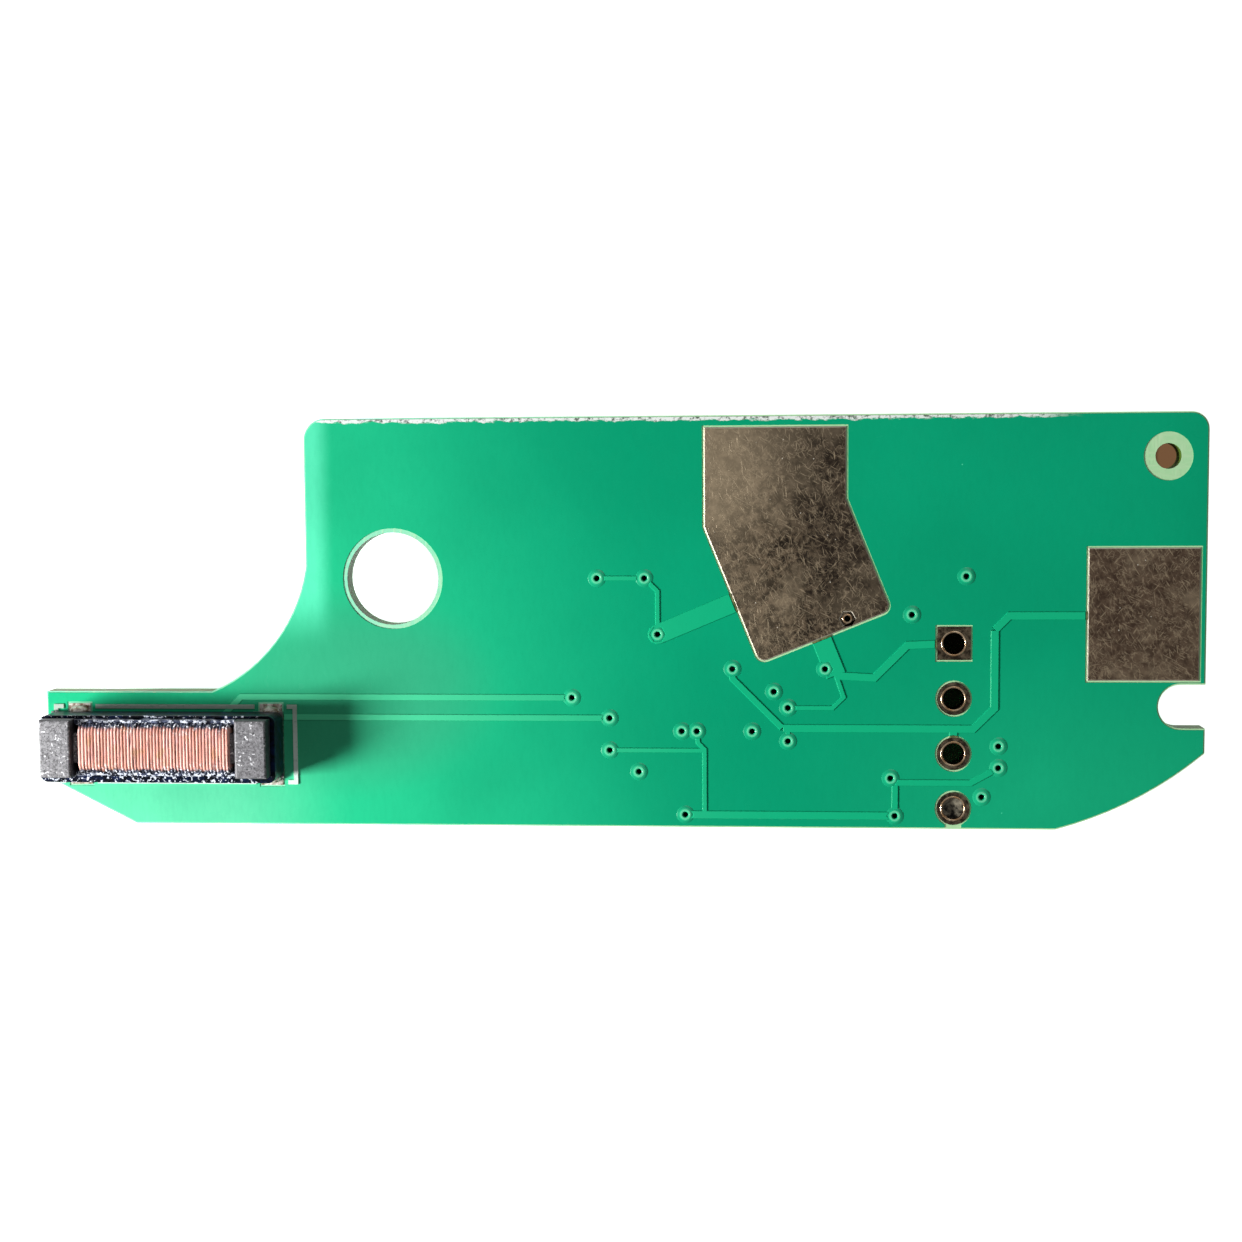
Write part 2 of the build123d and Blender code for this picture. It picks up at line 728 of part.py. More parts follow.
for number, spot in enumerate(switch_spots, start=1):
    with BuildPart() as base:
        with BuildSketch(under(stand_off)) as base_plan:
            with Locations(spot):
                Rectangle(switch_width, base_width)
            chamfer(base_plan.vertices(), switch_corner)
        extrude(amount=stand_off - base_top)
        with BuildSketch(under(base_top)):
            with Locations(spot):
                Circle(switch_well_radius)
        extrude(amount=base_top - switch_well_floor, mode=Mode.SUBTRACT)
    save(base.part, f"switch_{number}_base")

    with BuildPart() as terminals:
        for side in (-1, 1):
            toe = side * (switch_width / 2 + leg_reach)
            knee = side * leg_out
            wall = side * switch_width / 2
            for row in (-1, 1):
                leg_y = spot[1] + row * leg_spacing / 2
                leg_origin = at(0).from_local_coords((spot[0], leg_y, 0))
                with BuildSketch(Plane(origin=leg_origin, x_dir=(1, 0, 0), z_dir=(0, -1, 0))):
                    with BuildLine():
                        Polyline(
                            (toe, land_level),
                            (wall, land_level),
                            (wall, land_level - leg_rise),
                            (knee, land_level - leg_rise),
                            (knee, land_level - leg_sheet),
                            (toe, land_level - leg_sheet),
                            close=True,
                        )
                    make_face()
                extrude(amount=leg_width / 2, both=True)
        with BuildSketch(under(switch_well_floor)):
            with Locations(spot):
                Rectangle(contact_dot_width, contact_dot_width)
                with GridLocations(2 * dome_radius - contact_bar_width, 0, 2, 1):
                    Rectangle(contact_bar_width, contact_dot_width)
        extrude(amount=-contact_sheet)
    save(terminals.part, f"switch_{number}_terminals")

    with BuildPart() as dome:
        with BuildSketch(under(dome_foot)):
            with Locations(spot):
                RegularPolygon(dome_radius, dome_sides)
        extrude(amount=-dome_rise, taper=dome_slope)
        with BuildSketch(under(dome_foot)):
            with Locations(spot):
                RegularPolygon(dome_radius - dome_sheet, dome_sides)
        extrude(amount=dome_sheet - dome_rise, taper=dome_slope, mode=Mode.SUBTRACT)
    save(dome.part, f"switch_{number}_dome")

    with BuildPart() as plunger:
        with BuildSketch(under(flange_bottom)):
            with Locations(spot):
                Rectangle(plunger_flange_width, plunger_flange_width)
        extrude(amount=flange_bottom - flange_top)
        with BuildSketch(under(flange_top)):
            with Locations(spot):
                Circle(plunger_radius)
        extrude(amount=flange_top - switch_height)
        chamfer(plunger.faces().sort_by(Axis.Z)[0].edges(), plunger_edge)
    save(plunger.part, f"switch_{number}_plunger")

    with BuildPart() as cover:
        with BuildSketch(under(base_top)):
            with Locations(spot):
                Rectangle(switch_width, switch_width)
                Circle(plunger_radius + plunger_side_gap, mode=Mode.SUBTRACT)
        extrude(amount=-cover_thickness)
        with BuildSketch(under(base_top)):
            with Locations(spot):
                with GridLocations(0, switch_width - cover_thickness, 1, 2):
                    Rectangle(switch_width - 2 * switch_corner, cover_thickness)
        extrude(amount=cover_skirt)
    save(cover.part, f"switch_{number}_cover")

# ---- controller chip ----
chip_middle = stand_off + chip_height / 2
with BuildPart() as chip_body:
    with BuildSketch(under(chip_middle)):
        with Locations((chip_x, chip_y)):
            Rectangle(chip_length, chip_width)
    extrude(amount=chip_height / 2, taper=chip_draft)
    with BuildSketch(under(chip_middle)):
        with Locations((chip_x, chip_y)):
            Rectangle(chip_length, chip_width)
    extrude(amount=-chip_height / 2, taper=chip_draft)
    with BuildSketch(under(stand_off + chip_height)):
        with Locations((chip_x - chip_length / 2 + chip_mark_inset, chip_y - chip_width / 2 + chip_mark_inset)):
            RegularPolygon(chip_mark_radius, barrel_sides)
    extrude(amount=chip_mark_depth, mode=Mode.SUBTRACT)
save(chip_body.part, "chip_body")

with BuildPart() as chip_leads:
    for side in (-1, 1):
        root = side * chip_width / 2
        bend = side * (lead_span / 2 - lead_foot)
        toe = side * lead_span / 2
        outer = land_level - chip_middle - lead_sheet / 2
        inner = land_level - chip_middle + lead_sheet / 2
        for index in range(lead_pairs):
            lead_x = chip_x + (index - (lead_pairs - 1) / 2) * lead_pitch
            lead_origin = at(0).from_local_coords((lead_x, chip_y, 0))
            with BuildSketch(Plane(origin=lead_origin, x_dir=(0, 1, 0), z_dir=(1, 0, 0))):
                with BuildLine():
                    Polyline(
                        (root, inner),
                        (bend - side * lead_sheet, inner),
                        (bend, land_level),
                        (toe, land_level),
                        (toe, land_level - lead_sheet),
                        (bend + side * lead_sheet, land_level - lead_sheet),
                        (bend, outer),
                        (root, outer),
                        close=True,
                    )
                make_face()
            extrude(amount=lead_width / 2, both=True)
save(chip_leads.part, "chip_leads")

# ---- crystal ----
with BuildPart() as crystal_base:
    with BuildSketch(under(0)) as crystal_plan:
        with Locations((crystal_x, crystal_y)):
            Rectangle(crystal_length, crystal_width)
        chamfer(crystal_plan.vertices(), crystal_corner / 2)
    extrude(amount=-crystal_base_height)
save(crystal_base.part, "crystal_base")

with BuildPart() as crystal_lid:
    with BuildSketch(under(crystal_base_height)) as lid_plan:
        with Locations((crystal_x, crystal_y)):
            Rectangle(crystal_length - 2 * crystal_lid_inset, crystal_width - 2 * crystal_lid_inset)
        chamfer(lid_plan.vertices(), crystal_corner)
    extrude(amount=-crystal_lid_height)
save(crystal_lid.part, "crystal_lid")


# ---- chip components: a body between two end caps ----
def chip_parts(name, places, height, top_film):
    middle_length = chip_part_length - 2 * end_cap
    with BuildPart() as bodies:
        for x, y, turn in places:
            with BuildSketch(under(0)):
                with Locations((x, y)):
                    Rectangle(middle_length, chip_part_width - 2 * top_film, rotation=turn)
            extrude(amount=top_film - height)
    save(bodies.part, f"{name}_bodies")
    with BuildPart() as ends:
        for x, y, turn in places:
            step, _ = along(turn)
            shift = step * (chip_part_length - end_cap) / 2
            with BuildSketch(under(0)):
                with Locations((x - shift.X, y - shift.Y), (x + shift.X, y + shift.Y)):
                    Rectangle(end_cap, chip_part_width, rotation=turn)
            extrude(amount=-height)
    save(ends.part, f"{name}_ends")


chip_parts("capacitor", capacitors, capacitor_height, capacitor_skin)
chip_parts("resistor", resistors, resistor_height, resistor_film)
chip_parts("inductor", inductors, inductor_height, inductor_wire)

with BuildPart() as resistor_films:
    for x, y, turn in resistors:
        with BuildSketch(under(resistor_height - resistor_film)):
            with Locations((x, y)):
                Rectangle(chip_part_length - 2 * end_cap, chip_part_width - 2 * resistor_film, rotation=turn)
        extrude(amount=-resistor_film)
save(resistor_films.part, "resistor_films")

# wire wound round each inductor body, open on the board's side
with BuildPart() as inductor_windings:
    for x, y, turn in inductors:
        wound_length = chip_part_length - 2 * end_cap - inductor_wire
        with BuildSketch(under(0)):
            with Locations((x, y)):
                Rectangle(wound_length, chip_part_width, rotation=turn)
        extrude(amount=-inductor_height)
        with BuildSketch(under(0)):
            with Locations((x, y)):
                Rectangle(wound_length, chip_part_width - 2 * inductor_wire, rotation=turn)
        extrude(amount=inductor_wire - inductor_height, mode=Mode.SUBTRACT)
save(inductor_windings.part, "inductor_windings")

# ---- transistor ----
with BuildPart() as transistor_body:
    with BuildSketch(under(stand_off)):
        with Locations((transistor_x, transistor_y)):
            Rectangle(transistor_length, transistor_width)
    extrude(amount=-transistor_height, taper=chip_draft / 2)
save(transistor_body.part, "transistor_body")

with BuildPart() as transistor_leads:
    for side, ends in ((-1, (-transistor_lead_pitch / 2, transistor_lead_pitch / 2)), (1, (0,))):
        root = side * transistor_width / 2
        toe = side * transistor_span / 2
        for end in ends:
            lead_origin = at(0).from_local_coords((transistor_x + end, transistor_y, 0))
            with BuildSketch(Plane(origin=lead_origin, x_dir=(0, 1, 0), z_dir=(1, 0, 0))):
                with BuildLine():
                    Polyline(
                        (root, land_level - stand_off),
                        (root, land_level - stand_off - 2 * lead_sheet),
                        (root + side * lead_sheet, land_level - stand_off - 2 * lead_sheet),
                        (root + side * 2 * lead_sheet, land_level - lead_sheet),
                        (toe, land_level - lead_sheet),
                        (toe, land_level),
                        (root + side * lead_sheet, land_level),
                        close=True,
                    )
                make_face()
            extrude(amount=transistor_lead_width / 2, both=True)
save(transistor_leads.part, "transistor_leads")
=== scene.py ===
import json
import math

import bmesh
import bpy
from mathutils import Matrix, Vector


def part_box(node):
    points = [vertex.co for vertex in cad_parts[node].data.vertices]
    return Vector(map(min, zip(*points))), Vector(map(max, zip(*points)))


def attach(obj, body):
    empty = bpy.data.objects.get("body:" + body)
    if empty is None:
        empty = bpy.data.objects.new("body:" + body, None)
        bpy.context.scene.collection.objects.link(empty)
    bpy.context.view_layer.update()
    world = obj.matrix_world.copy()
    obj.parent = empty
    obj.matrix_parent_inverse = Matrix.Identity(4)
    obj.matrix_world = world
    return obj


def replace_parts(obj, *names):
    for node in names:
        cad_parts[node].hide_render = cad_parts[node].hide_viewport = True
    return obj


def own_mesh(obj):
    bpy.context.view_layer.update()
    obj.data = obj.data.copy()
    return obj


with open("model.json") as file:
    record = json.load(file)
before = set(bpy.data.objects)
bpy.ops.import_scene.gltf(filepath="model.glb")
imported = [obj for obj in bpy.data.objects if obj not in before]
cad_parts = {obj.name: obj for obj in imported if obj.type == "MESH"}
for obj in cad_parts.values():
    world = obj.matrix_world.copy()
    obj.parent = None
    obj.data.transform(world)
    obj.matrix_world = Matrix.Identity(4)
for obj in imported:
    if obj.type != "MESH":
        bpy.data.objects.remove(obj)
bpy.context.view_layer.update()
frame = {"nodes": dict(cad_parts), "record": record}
print("frame loaded")

mm = 0.001
maskSheet = 0.03 * mm
mergeReach = 0.002 * mm

# plans are in millimetres from the middle switch's centre line and the board's lower edge
boardLow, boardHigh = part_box("laminate")
switchLow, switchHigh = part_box("switch_2_cover")
planX = (switchLow.x + switchHigh.x) / 2
planY = boardLow.y
topLevel = boardHigh.z
maskLevel = topLevel + maskSheet
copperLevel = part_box("battery_pad_edge")[1].z
underLevel = boardLow.z
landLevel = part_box("component_lands")[0].z
windLow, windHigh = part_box("coil_winding")
coilMiddle = (windLow + windHigh) / 2


def onBoard(x, y, z=0.0):
    return Vector((planX + x * mm, planY + y * mm, z))


def shade(red, green, blue):
    # display value to the linear one that shaders take
    values = [value / 255 for value in (red, green, blue)]
    linear = [v / 12.92 if v < 0.0405 else ((v + 0.055) / 1.055) ** 2.4 for v in values]
    return (*linear, 1.0)


# ---- node helpers ----
# they find the node tree through the sockets that they are given
def setInputs(node, values):
    for name, value in values.items():
        node.inputs[name].default_value = value


def addNode(kind, source, socket, values):
    tree = source.id_data
    node = tree.nodes.new(kind)
    setInputs(node, values)
    tree.links.new(source, node.inputs[socket])
    return node


def startMaterial(name, roughness, metallic=0.0, specular=0.5, coat=0.0, coatRoughness=0.15):
    # a material with its shader and its object coordinates in millimetres
    material = bpy.data.materials.new(name)
    material.use_nodes = True
    nodes = material.node_tree.nodes
    shader = nodes["Principled BSDF"]
    setInputs(shader, {"Roughness": roughness, "Metallic": metallic})
    setInputs(shader, {"Specular IOR Level": specular})
    setInputs(shader, {"Coat Weight": coat, "Coat Roughness": coatRoughness})
    place = nodes.new("ShaderNodeTexCoord").outputs["Object"]
    return material, shader, mapped(place, (1 / mm, 1 / mm, 1 / mm))


def mapped(vector, scale, turn=0.0, shift=(0, 0, 0)):
    values = {"Location": shift, "Rotation": (0, 0, math.radians(turn)), "Scale": scale}
    return addNode("ShaderNodeMapping", vector, "Vector", values).outputs["Vector"]


def noiseOf(vector, scale, detail=3.0, rough=0.5, warp=0.0):
    values = {"Scale": scale, "Detail": detail, "Roughness": rough, "Distortion": warp}
    return addNode("ShaderNodeTexNoise", vector, "Vector", values).outputs["Fac"]


def cellsOf(vector, scale):
    node = addNode("ShaderNodeTexVoronoi", vector, "Vector", {"Scale": scale})
    return node.outputs["Distance"]


def rangeOf(value, low, high, outLow=0.0, outHigh=1.0):
    values = {"From Min": low, "From Max": high, "To Min": outLow, "To Max": outHigh}
    node = addNode("ShaderNodeMapRange", value, "Value", values)
    node.interpolation_type = "SMOOTHSTEP"
    return node.outputs["Result"]


def feed(socket, value):
    # value is a number, a display colour or a socket of another node
    if isinstance(value, (int, float)):
        socket.default_value = value
    elif isinstance(value, tuple):
        socket.default_value = shade(*value)
    else:
        socket.id_data.links.new(value, socket)


def mathOf(kind, *values):
    source = [value for value in values if not isinstance(value, (int, float))][0]
    node = source.id_data.nodes.new("ShaderNodeMath")
    node.operation = kind
    for socket, value in zip(node.inputs, values):
        feed(socket, value)
    return node.outputs[0]


def chained(kind, values):
    result = values[0]
    for value in values[1:]:
        result = mathOf(kind, result, value)
    return result


def times(*values):
    return chained("MULTIPLY", values)


def plus(*values):
    return chained("ADD", values)


def larger(*values):
    return chained("MAXIMUM", values)


def minus(first, second):
    return mathOf("SUBTRACT", first, second)


def sizeOf(value):
    return mathOf("ABSOLUTE", value)


def patchOf(first, second, firstSpan, secondSpan):
    # 1 where both values are past their spans, 0 before either
    return times(rangeOf(first, *firstSpan), rangeOf(second, *secondSpan))


def awayFrom(x, y, middle, reach=(1.0, 1.0)):
    # squared distance from the middle, counted in reaches
    offX = times(minus(x, middle[0]), 1 / reach[0])
    offY = times(minus(y, middle[1]), 1 / reach[1])
    return plus(times(offX, offX), times(offY, offY))


def mixOf(factor, first, second):
    node = factor.id_data.nodes.new("ShaderNodeMix")
    node.data_type = "RGBA"
    for index, value in ((0, factor), (6, first), (7, second)):
        feed(node.inputs[index], value)
    return node.outputs[2]


def laid(ground, tone, value, *span):
    # the tone over the ground, as far as the value is past its span
    return mixOf(rangeOf(value, *span), ground, tone)


def bumpOf(height, strength, distance, onto=None):
    # distance in millimetres
    values = {"Strength": strength, "Distance": distance * mm}
    node = addNode("ShaderNodeBump", height, "Height", values)
    if onto is not None:
        feed(node.inputs["Normal"], onto)
    return node.outputs["Normal"]


def partsOf(vector):
    return addNode("ShaderNodeSeparateXYZ", vector, "Vector", {}).outputs


def facingOf(place):
    # how far the surface faces up, from -1 to 1
    geometry = place.id_data.nodes.new("ShaderNodeNewGeometry")
    return partsOf(geometry.outputs["Normal"])["Z"]


def wire(shader, colour, rough=None, normal=None):
    for name, value in (("Base Color", colour), ("Roughness", rough), ("Normal", normal)):
        if value is not None:
            feed(shader.inputs[name], value)


# ---- materials ----
maskLook = {
    "left": (42, 206, 146),
    "right": (7, 163, 117),
    "corner": (116, 234, 184),
    "rim": (104, 250, 200),
    "dark": (2, 128, 88),
    "paintedShadow": (64, 160, 122),
    "overCopper": (88, 222, 165),
    "overCopperRight": (20, 180, 127),
    "crest": (120, 230, 180),
    "slope": (0, 96, 66),
    "holeShade": (2, 30, 20),
    "chipped": (232, 238, 234),
    "chippedDark": (96, 108, 96),
    "drift": (-20.0, 5.0),
    "driftSlant": 0.35,
    "glareCornerX": (-12.0, -19.0),
    "glareCornerY": (-3.5, -8.5),
    "liftX": (6.0, 22.0),
    "liftY": (0.0, -8.5),
    "paintedShadowMiddle": (-12.5, -3.2),
    "paintedShadowReach": (6.0, 4.2),
    "bandIn": (1.4, 0.35),
    "bandUp": (2.0, 5.0),
    "trackRise": (0.024, 0.037),
    "slopeFoot": (0.002, 0.01),
    "slopeHead": (0.036, 0.022),
    "crestRise": (0.04, 0.05),
    "holeDrop": (-0.01, -0.06),
    "frayDepth": (0.01, 0.07),
    "frayEnd": (5.5, 8.0),
}


def maskMaterial(name, side):
    look = maskLook
    material, shader, place = startMaterial(name, 0.24, specular=side["gloss"])
    x, y, z = partsOf(place)
    left, right, foot, top = side["edges"]
    # painted light: lighter towards the lower left, with a painted glare in its corner and
    # lighter at the lower right; a painted shadow dulls one patch
    drift = plus(x, times(y, look["driftSlant"]))
    across = rangeOf(drift, *look["drift"])
    ground = mixOf(across, look["left"], look["right"])
    # a painted glare lightens the lower left corner
    corner = patchOf(x, y, look["glareCornerX"], look["glareCornerY"])
    ground = mixOf(times(corner, 0.8), ground, look["corner"])
    lift = patchOf(x, y, look["liftX"], look["liftY"])
    ground = mixOf(times(lift, 0.35), ground, look["left"])
    # a painted shadow dulls one soft patch
    paintedShadow = awayFrom(x, y, look["paintedShadowMiddle"], look["paintedShadowReach"])
    ground = laid(ground, look["paintedShadow"], paintedShadow, 1.7, 0.1, 0.0, 0.6)
    # a painted highlight: a light band at the left end of the wide part
    bandX = [left + inset for inset in look["bandIn"]]
    bandY = [foot + rise for rise in look["bandUp"]]
    highlightBand = patchOf(x, y, bandX, bandY)
    ground = mixOf(times(highlightBand, 0.8), ground, look["rim"])
    # clouds and the weave of the cloth below
    cloud = rangeOf(noiseOf(place, 0.11, 2.0), 0.38, 0.66)
    ground = mixOf(times(cloud, 0.2), ground, look["dark"])
    weave = noiseOf(mapped(place, (2.6, 0.8, 1.0)), 2.2, 3.0)
    ground = laid(ground, look["dark"], weave, 0.35, 0.75, 0.0, 0.06)
    # lighter where the skin climbs over a track; this tone also carries the painted light falloff
    # towards the left
    copperTone = mixOf(across, look["overCopper"], look["overCopperRight"])
    rise = times(minus(z, side["sheet"] / mm), side["way"])
    onTrack = rangeOf(rise, *look["trackRise"])
    colour = mixOf(onTrack, ground, copperTone)
    slope = patchOf(rise, rise, look["slopeFoot"], look["slopeHead"])
    colour = mixOf(times(slope, side["slope"]), colour, look["slope"])
    # palest on the crests round the small holes, with a painted shade down inside them
    colour = laid(colour, look["crest"], rise, *look["crestRise"], 0.0, 0.6)
    colour = laid(colour, look["holeShade"], rise, *look["holeDrop"], 0.0, 0.85)
    dust = rangeOf(cellsOf(place, 0.9), 0.0, 0.035, 1.0, 0.0)
    dust = times(dust, rangeOf(noiseOf(place, 0.5, 1.0), 0.62, 0.64))
    colour = mixOf(dust, colour, look["rim"])
    # the long edge was snapped from its panel, and the skin is chipped along it
    chips = noiseOf(mapped(place, (1.1, 3.0, 1.0)), 1.6, 5.0, 0.7)
    frayed = plus(y, times(chips, 0.5))
    frayY = [top + depth for depth in look["frayDepth"]]
    frayX = [right - inset for inset in look["frayEnd"]]
    frayed = patchOf(frayed, x, frayY, frayX)
    torn = rangeOf(noiseOf(place, 4.5, 4.0, 0.7), 0.36, 0.52)
    torn = mixOf(torn, look["chippedDark"], look["chipped"])
    colour = mixOf(frayed, colour, torn)
    normal = bumpOf(noiseOf(place, 9.0, 3.0), 0.08, 0.01)
    normal = bumpOf(noiseOf(place, 0.9, 2.0), 0.2, 0.04, normal)
    rough = rangeOf(noiseOf(place, 1.4, 4.0), 0.3, 0.7, 0.2, 0.3)
    wire(shader, colour, plus(rough, times(frayed, 0.4)), normal)
    return material


laminateLook = {
    "faceLeft": (140, 226, 190),
    "faceRight": (176, 224, 170),
    "cloth": (206, 232, 190),
    "rimDark": (42, 64, 16),
    "rimLight": (94, 126, 44),
    "burr": (44, 50, 32),
    "drift": (-16.0, 10.0),
}


def laminateMaterial():
    look = laminateLook
    material, shader, place = startMaterial("laminateWeave", 0.5, specular=0.2)
    x = partsOf(place)["X"]
    warp = noiseOf(mapped(place, (7.0, 0.8, 1.0)), 1.0, 2.0)
    weft = noiseOf(mapped(place, (0.8, 7.0, 1.0)), 1.0, 2.0)
    cloth = larger(warp, weft)
    across = rangeOf(x, *look["drift"])
    face = mixOf(across, look["faceLeft"], look["faceRight"])
    face = laid(face, look["cloth"], cloth, 0.45, 0.8, 0.0, 0.5)
    plies = noiseOf(mapped(place, (0.9, 0.9, 9.0)), 1.0, 3.0)
    rim = mixOf(rangeOf(plies, 0.35, 0.7), look["rimDark"], look["rimLight"])
    burr = rangeOf(noiseOf(place, 3.2, 4.0, 0.6), 0.6, 0.72)
    rim = mixOf(times(burr, 0.6), rim, look["burr"])
    level = sizeOf(facingOf(place))
    colour = mixOf(rangeOf(level, 0.4, 0.7), rim, face)
    wire(shader, colour, None, bumpOf(plus(cloth, plies), 0.4, 0.03))
    return material


padLook = {
    "deep": (34, 26, 18),
    "even": (90, 69, 55),
    "mid": (112, 96, 76),
    "haze": (172, 154, 126),
    "edge": (244, 236, 216),
    "glint": (250, 242, 224),
    "paintedShadeTone": (40, 31, 23),
    "smallFrom": (15.0, 18.0),
    "driftSlant": 0.3,
    "paintedLightDrift": (10.5, 7.5),
    "paintedShadeDrift": (9.5, 13.0),
    "paintedShadeEnd": (18.0, 15.0),
    "hazeMiddle": (4.6, 8.6),
    "hazeAway": (34.0, 2.0),
    "scratches": ((1.5, 0.0), (2.6, 21.0), (2.0, 47.0), (3.6, 63.0)),
    "strokes": ((28, 0.0), (-52, 7.0), (83, 19.0), (57, 31.0)),
}


def wearMarks(place):
    # thin curved scratches in patches, with straight strokes in a few directions
    marks = None
    for scale, seed in padLook["scratches"]:
        ridge = mapped(place, (1, 1, 1), seed, (seed, seed, 0))
        ridge = noiseOf(ridge, scale, 2.0, 0.5)
        ridge = rangeOf(sizeOf(minus(ridge, 0.5)), 0.0, 0.02, 1.0, 0.0)
        kept = noiseOf(mapped(place, (1, 1, 1), 0, (seed, 3, 0)), 1.2, 2.0)
        ridge = times(ridge, rangeOf(kept, 0.5, 0.58))
        marks = ridge if marks is None else larger(marks, ridge)
    marks = times(marks, 0.75)
    for turn, seed in padLook["strokes"]:
        strokes = mapped(place, (1, 1, 1), turn)
        strokes = mapped(strokes, (1.5, 20.0, 1.0), 0, (seed, seed, 0))
        strokes = rangeOf(noiseOf(strokes, 1.0, 1.0), 0.68, 0.74)
        marks = larger(marks, strokes)
    return marks


def platingMaterial(name):
    # tarnished plating: fine mottling, haze, hair scratches and bright specks
    look = padLook
    material, shader, place = startMaterial(name, 0.4, metallic=0.35, specular=0.4)
    x, y = partsOf(place)[:2]
    cloud = noiseOf(place, 0.42, 4.0, 0.6)
    mottle = noiseOf(place, 2.3, 9.0, 0.78)
    colour = mixOf(rangeOf(mottle, 0.42, 0.6), look["deep"], look["mid"])
    # the small pad is redder and more even
    colour = laid(colour, look["even"], x, *look["smallFrom"], 0.0, 0.55)
    colour = laid(colour, look["haze"], cloud, 0.5, 0.68, 0.0, 0.4)
    wiped = mapped(mapped(place, (1, 1, 1), 64), (1.1, 4.0, 1.0))
    wiped = noiseOf(wiped, 1.6, 8.0, 0.75)
    colour = laid(colour, look["haze"], wiped, 0.52, 0.68, 0.0, 0.5)
    # painted light: paler at the left of the large pad, and a painted shade darker at its right
    drift = plus(x, times(y, look["driftSlant"]), times(cloud, 3.0))
    colour = laid(colour, look["haze"], drift, *look["paintedLightDrift"], 0.0, 0.22)
    upper = awayFrom(x, y, look["hazeMiddle"])
    colour = laid(colour, look["haze"], upper, *look["hazeAway"], 0.0, 0.55)
    paintedShadeRight = rangeOf(drift, *look["paintedShadeDrift"], 0.0, 0.6)
    paintedShadeRight = times(paintedShadeRight, rangeOf(x, *look["paintedShadeEnd"], 0.15, 1.0))
    colour = mixOf(paintedShadeRight, colour, look["paintedShadeTone"])
    marks = wearMarks(place)
    colour = mixOf(times(marks, 0.6), colour, look["haze"])
    specks = rangeOf(cellsOf(place, 2.2), 0.03, 0.075, 1.0, 0.0)
    specks = times(specks, rangeOf(noiseOf(place, 1.3, 2.0), 0.52, 0.56))
    colour = mixOf(specks, colour, look["glint"])
    # painted highlight: bright all along the eased rim
    colour = laid(colour, look["edge"], facingOf(place), 0.97, 0.85, 0.0, 0.9)
    rough = rangeOf(mottle, 0.35, 0.68, 0.30, 0.5)
    height = plus(times(mottle, 0.5), times(marks, -0.5))
    wire(shader, colour, rough, bumpOf(height, 0.4, 0.02))
    return material


barrelLook = {
    "landDark": (46, 38, 28),
    "landLight": (116, 102, 82),
    "wallShadeDark": (10, 8, 7),
    "wallShadeLight": (58, 38, 24),
}


def barrelMaterial():
    # dull dark plating on the lands; a painted shade makes them near black inside the holes
    look = barrelLook
    material, shader, place = startMaterial("holePlating", 0.36, metallic=0.6)
    level = rangeOf(sizeOf(facingOf(place)), 0.4, 0.8)
    blotch = noiseOf(place, 3.4, 6.0, 0.7)
    land = mixOf(rangeOf(blotch, 0.38, 0.66), look["landDark"], look["landLight"])
    # painted shade: the walls go near black
    wallShade = mixOf(rangeOf(blotch, 0.35, 0.7), look["wallShadeDark"], look["wallShadeLight"])
    colour = mixOf(level, wallShade, land)
    rough = rangeOf(blotch, 0.3, 0.7, 0.28, 0.5)
    wire(shader, colour, rough, bumpOf(blotch, 0.3, 0.02))
    return material


rimTones = {
    "wornDark": (206, 164, 120),
    "wornLight": (250, 222, 186),
    "insideShadeDark": (12, 9, 7),
    "insideShadeLight": (72, 46, 28),
}


def rimMaterial():
    # bright worn copper on top of the rims; a painted shade makes them dark down inside
    look = rimTones
    material, shader, place = startMaterial("holeRim", 0.25, metallic=0.9)
    blotch = noiseOf(place, 3.0, 4.0)
    up = rangeOf(facingOf(place), 0.2, 0.8)
    worn = mixOf(rangeOf(blotch, 0.35, 0.65), look["wornDark"], look["wornLight"])
    deep = mixOf(rangeOf(blotch, 0.4, 0.7), look["insideShadeDark"], look["insideShadeLight"])
    colour = mixOf(up, deep, worn)
    wire(shader, colour, None, bumpOf(blotch, 0.3, 0.01))
    return material


def solderMaterial(name, dark, light, scale, roughness, metallic):
    material, shader, place = startMaterial(name, roughness, metallic=metallic)
    grain = noiseOf(place, scale, 5.0, 0.6, 0.4)
    frost = cellsOf(place, scale * 2.5)
    colour = mixOf(rangeOf(grain, 0.35, 0.68), dark, light)
    colour = laid(colour, dark, frost, 0.1, 0.6, 0.25, 0.0)
    rough = rangeOf(frost, 0.1, 0.7, roughness - 0.08, roughness + 0.16)
    height = plus(grain, times(frost, 0.5))
    wire(shader, colour, rough, bumpOf(height, 0.5, 0.03))
    return material


ferriteLook = {
    "dark": (88, 87, 90),
    "paleLeft": (168, 167, 170),
    "paleRight": (145, 144, 147),
    "crystal": (252, 252, 255),
    "pore": (40, 40, 44),
    "sideDark": (20, 21, 26),
    "sideLight": (66, 66, 72),
    "drift": (-25.0, -17.0),
}


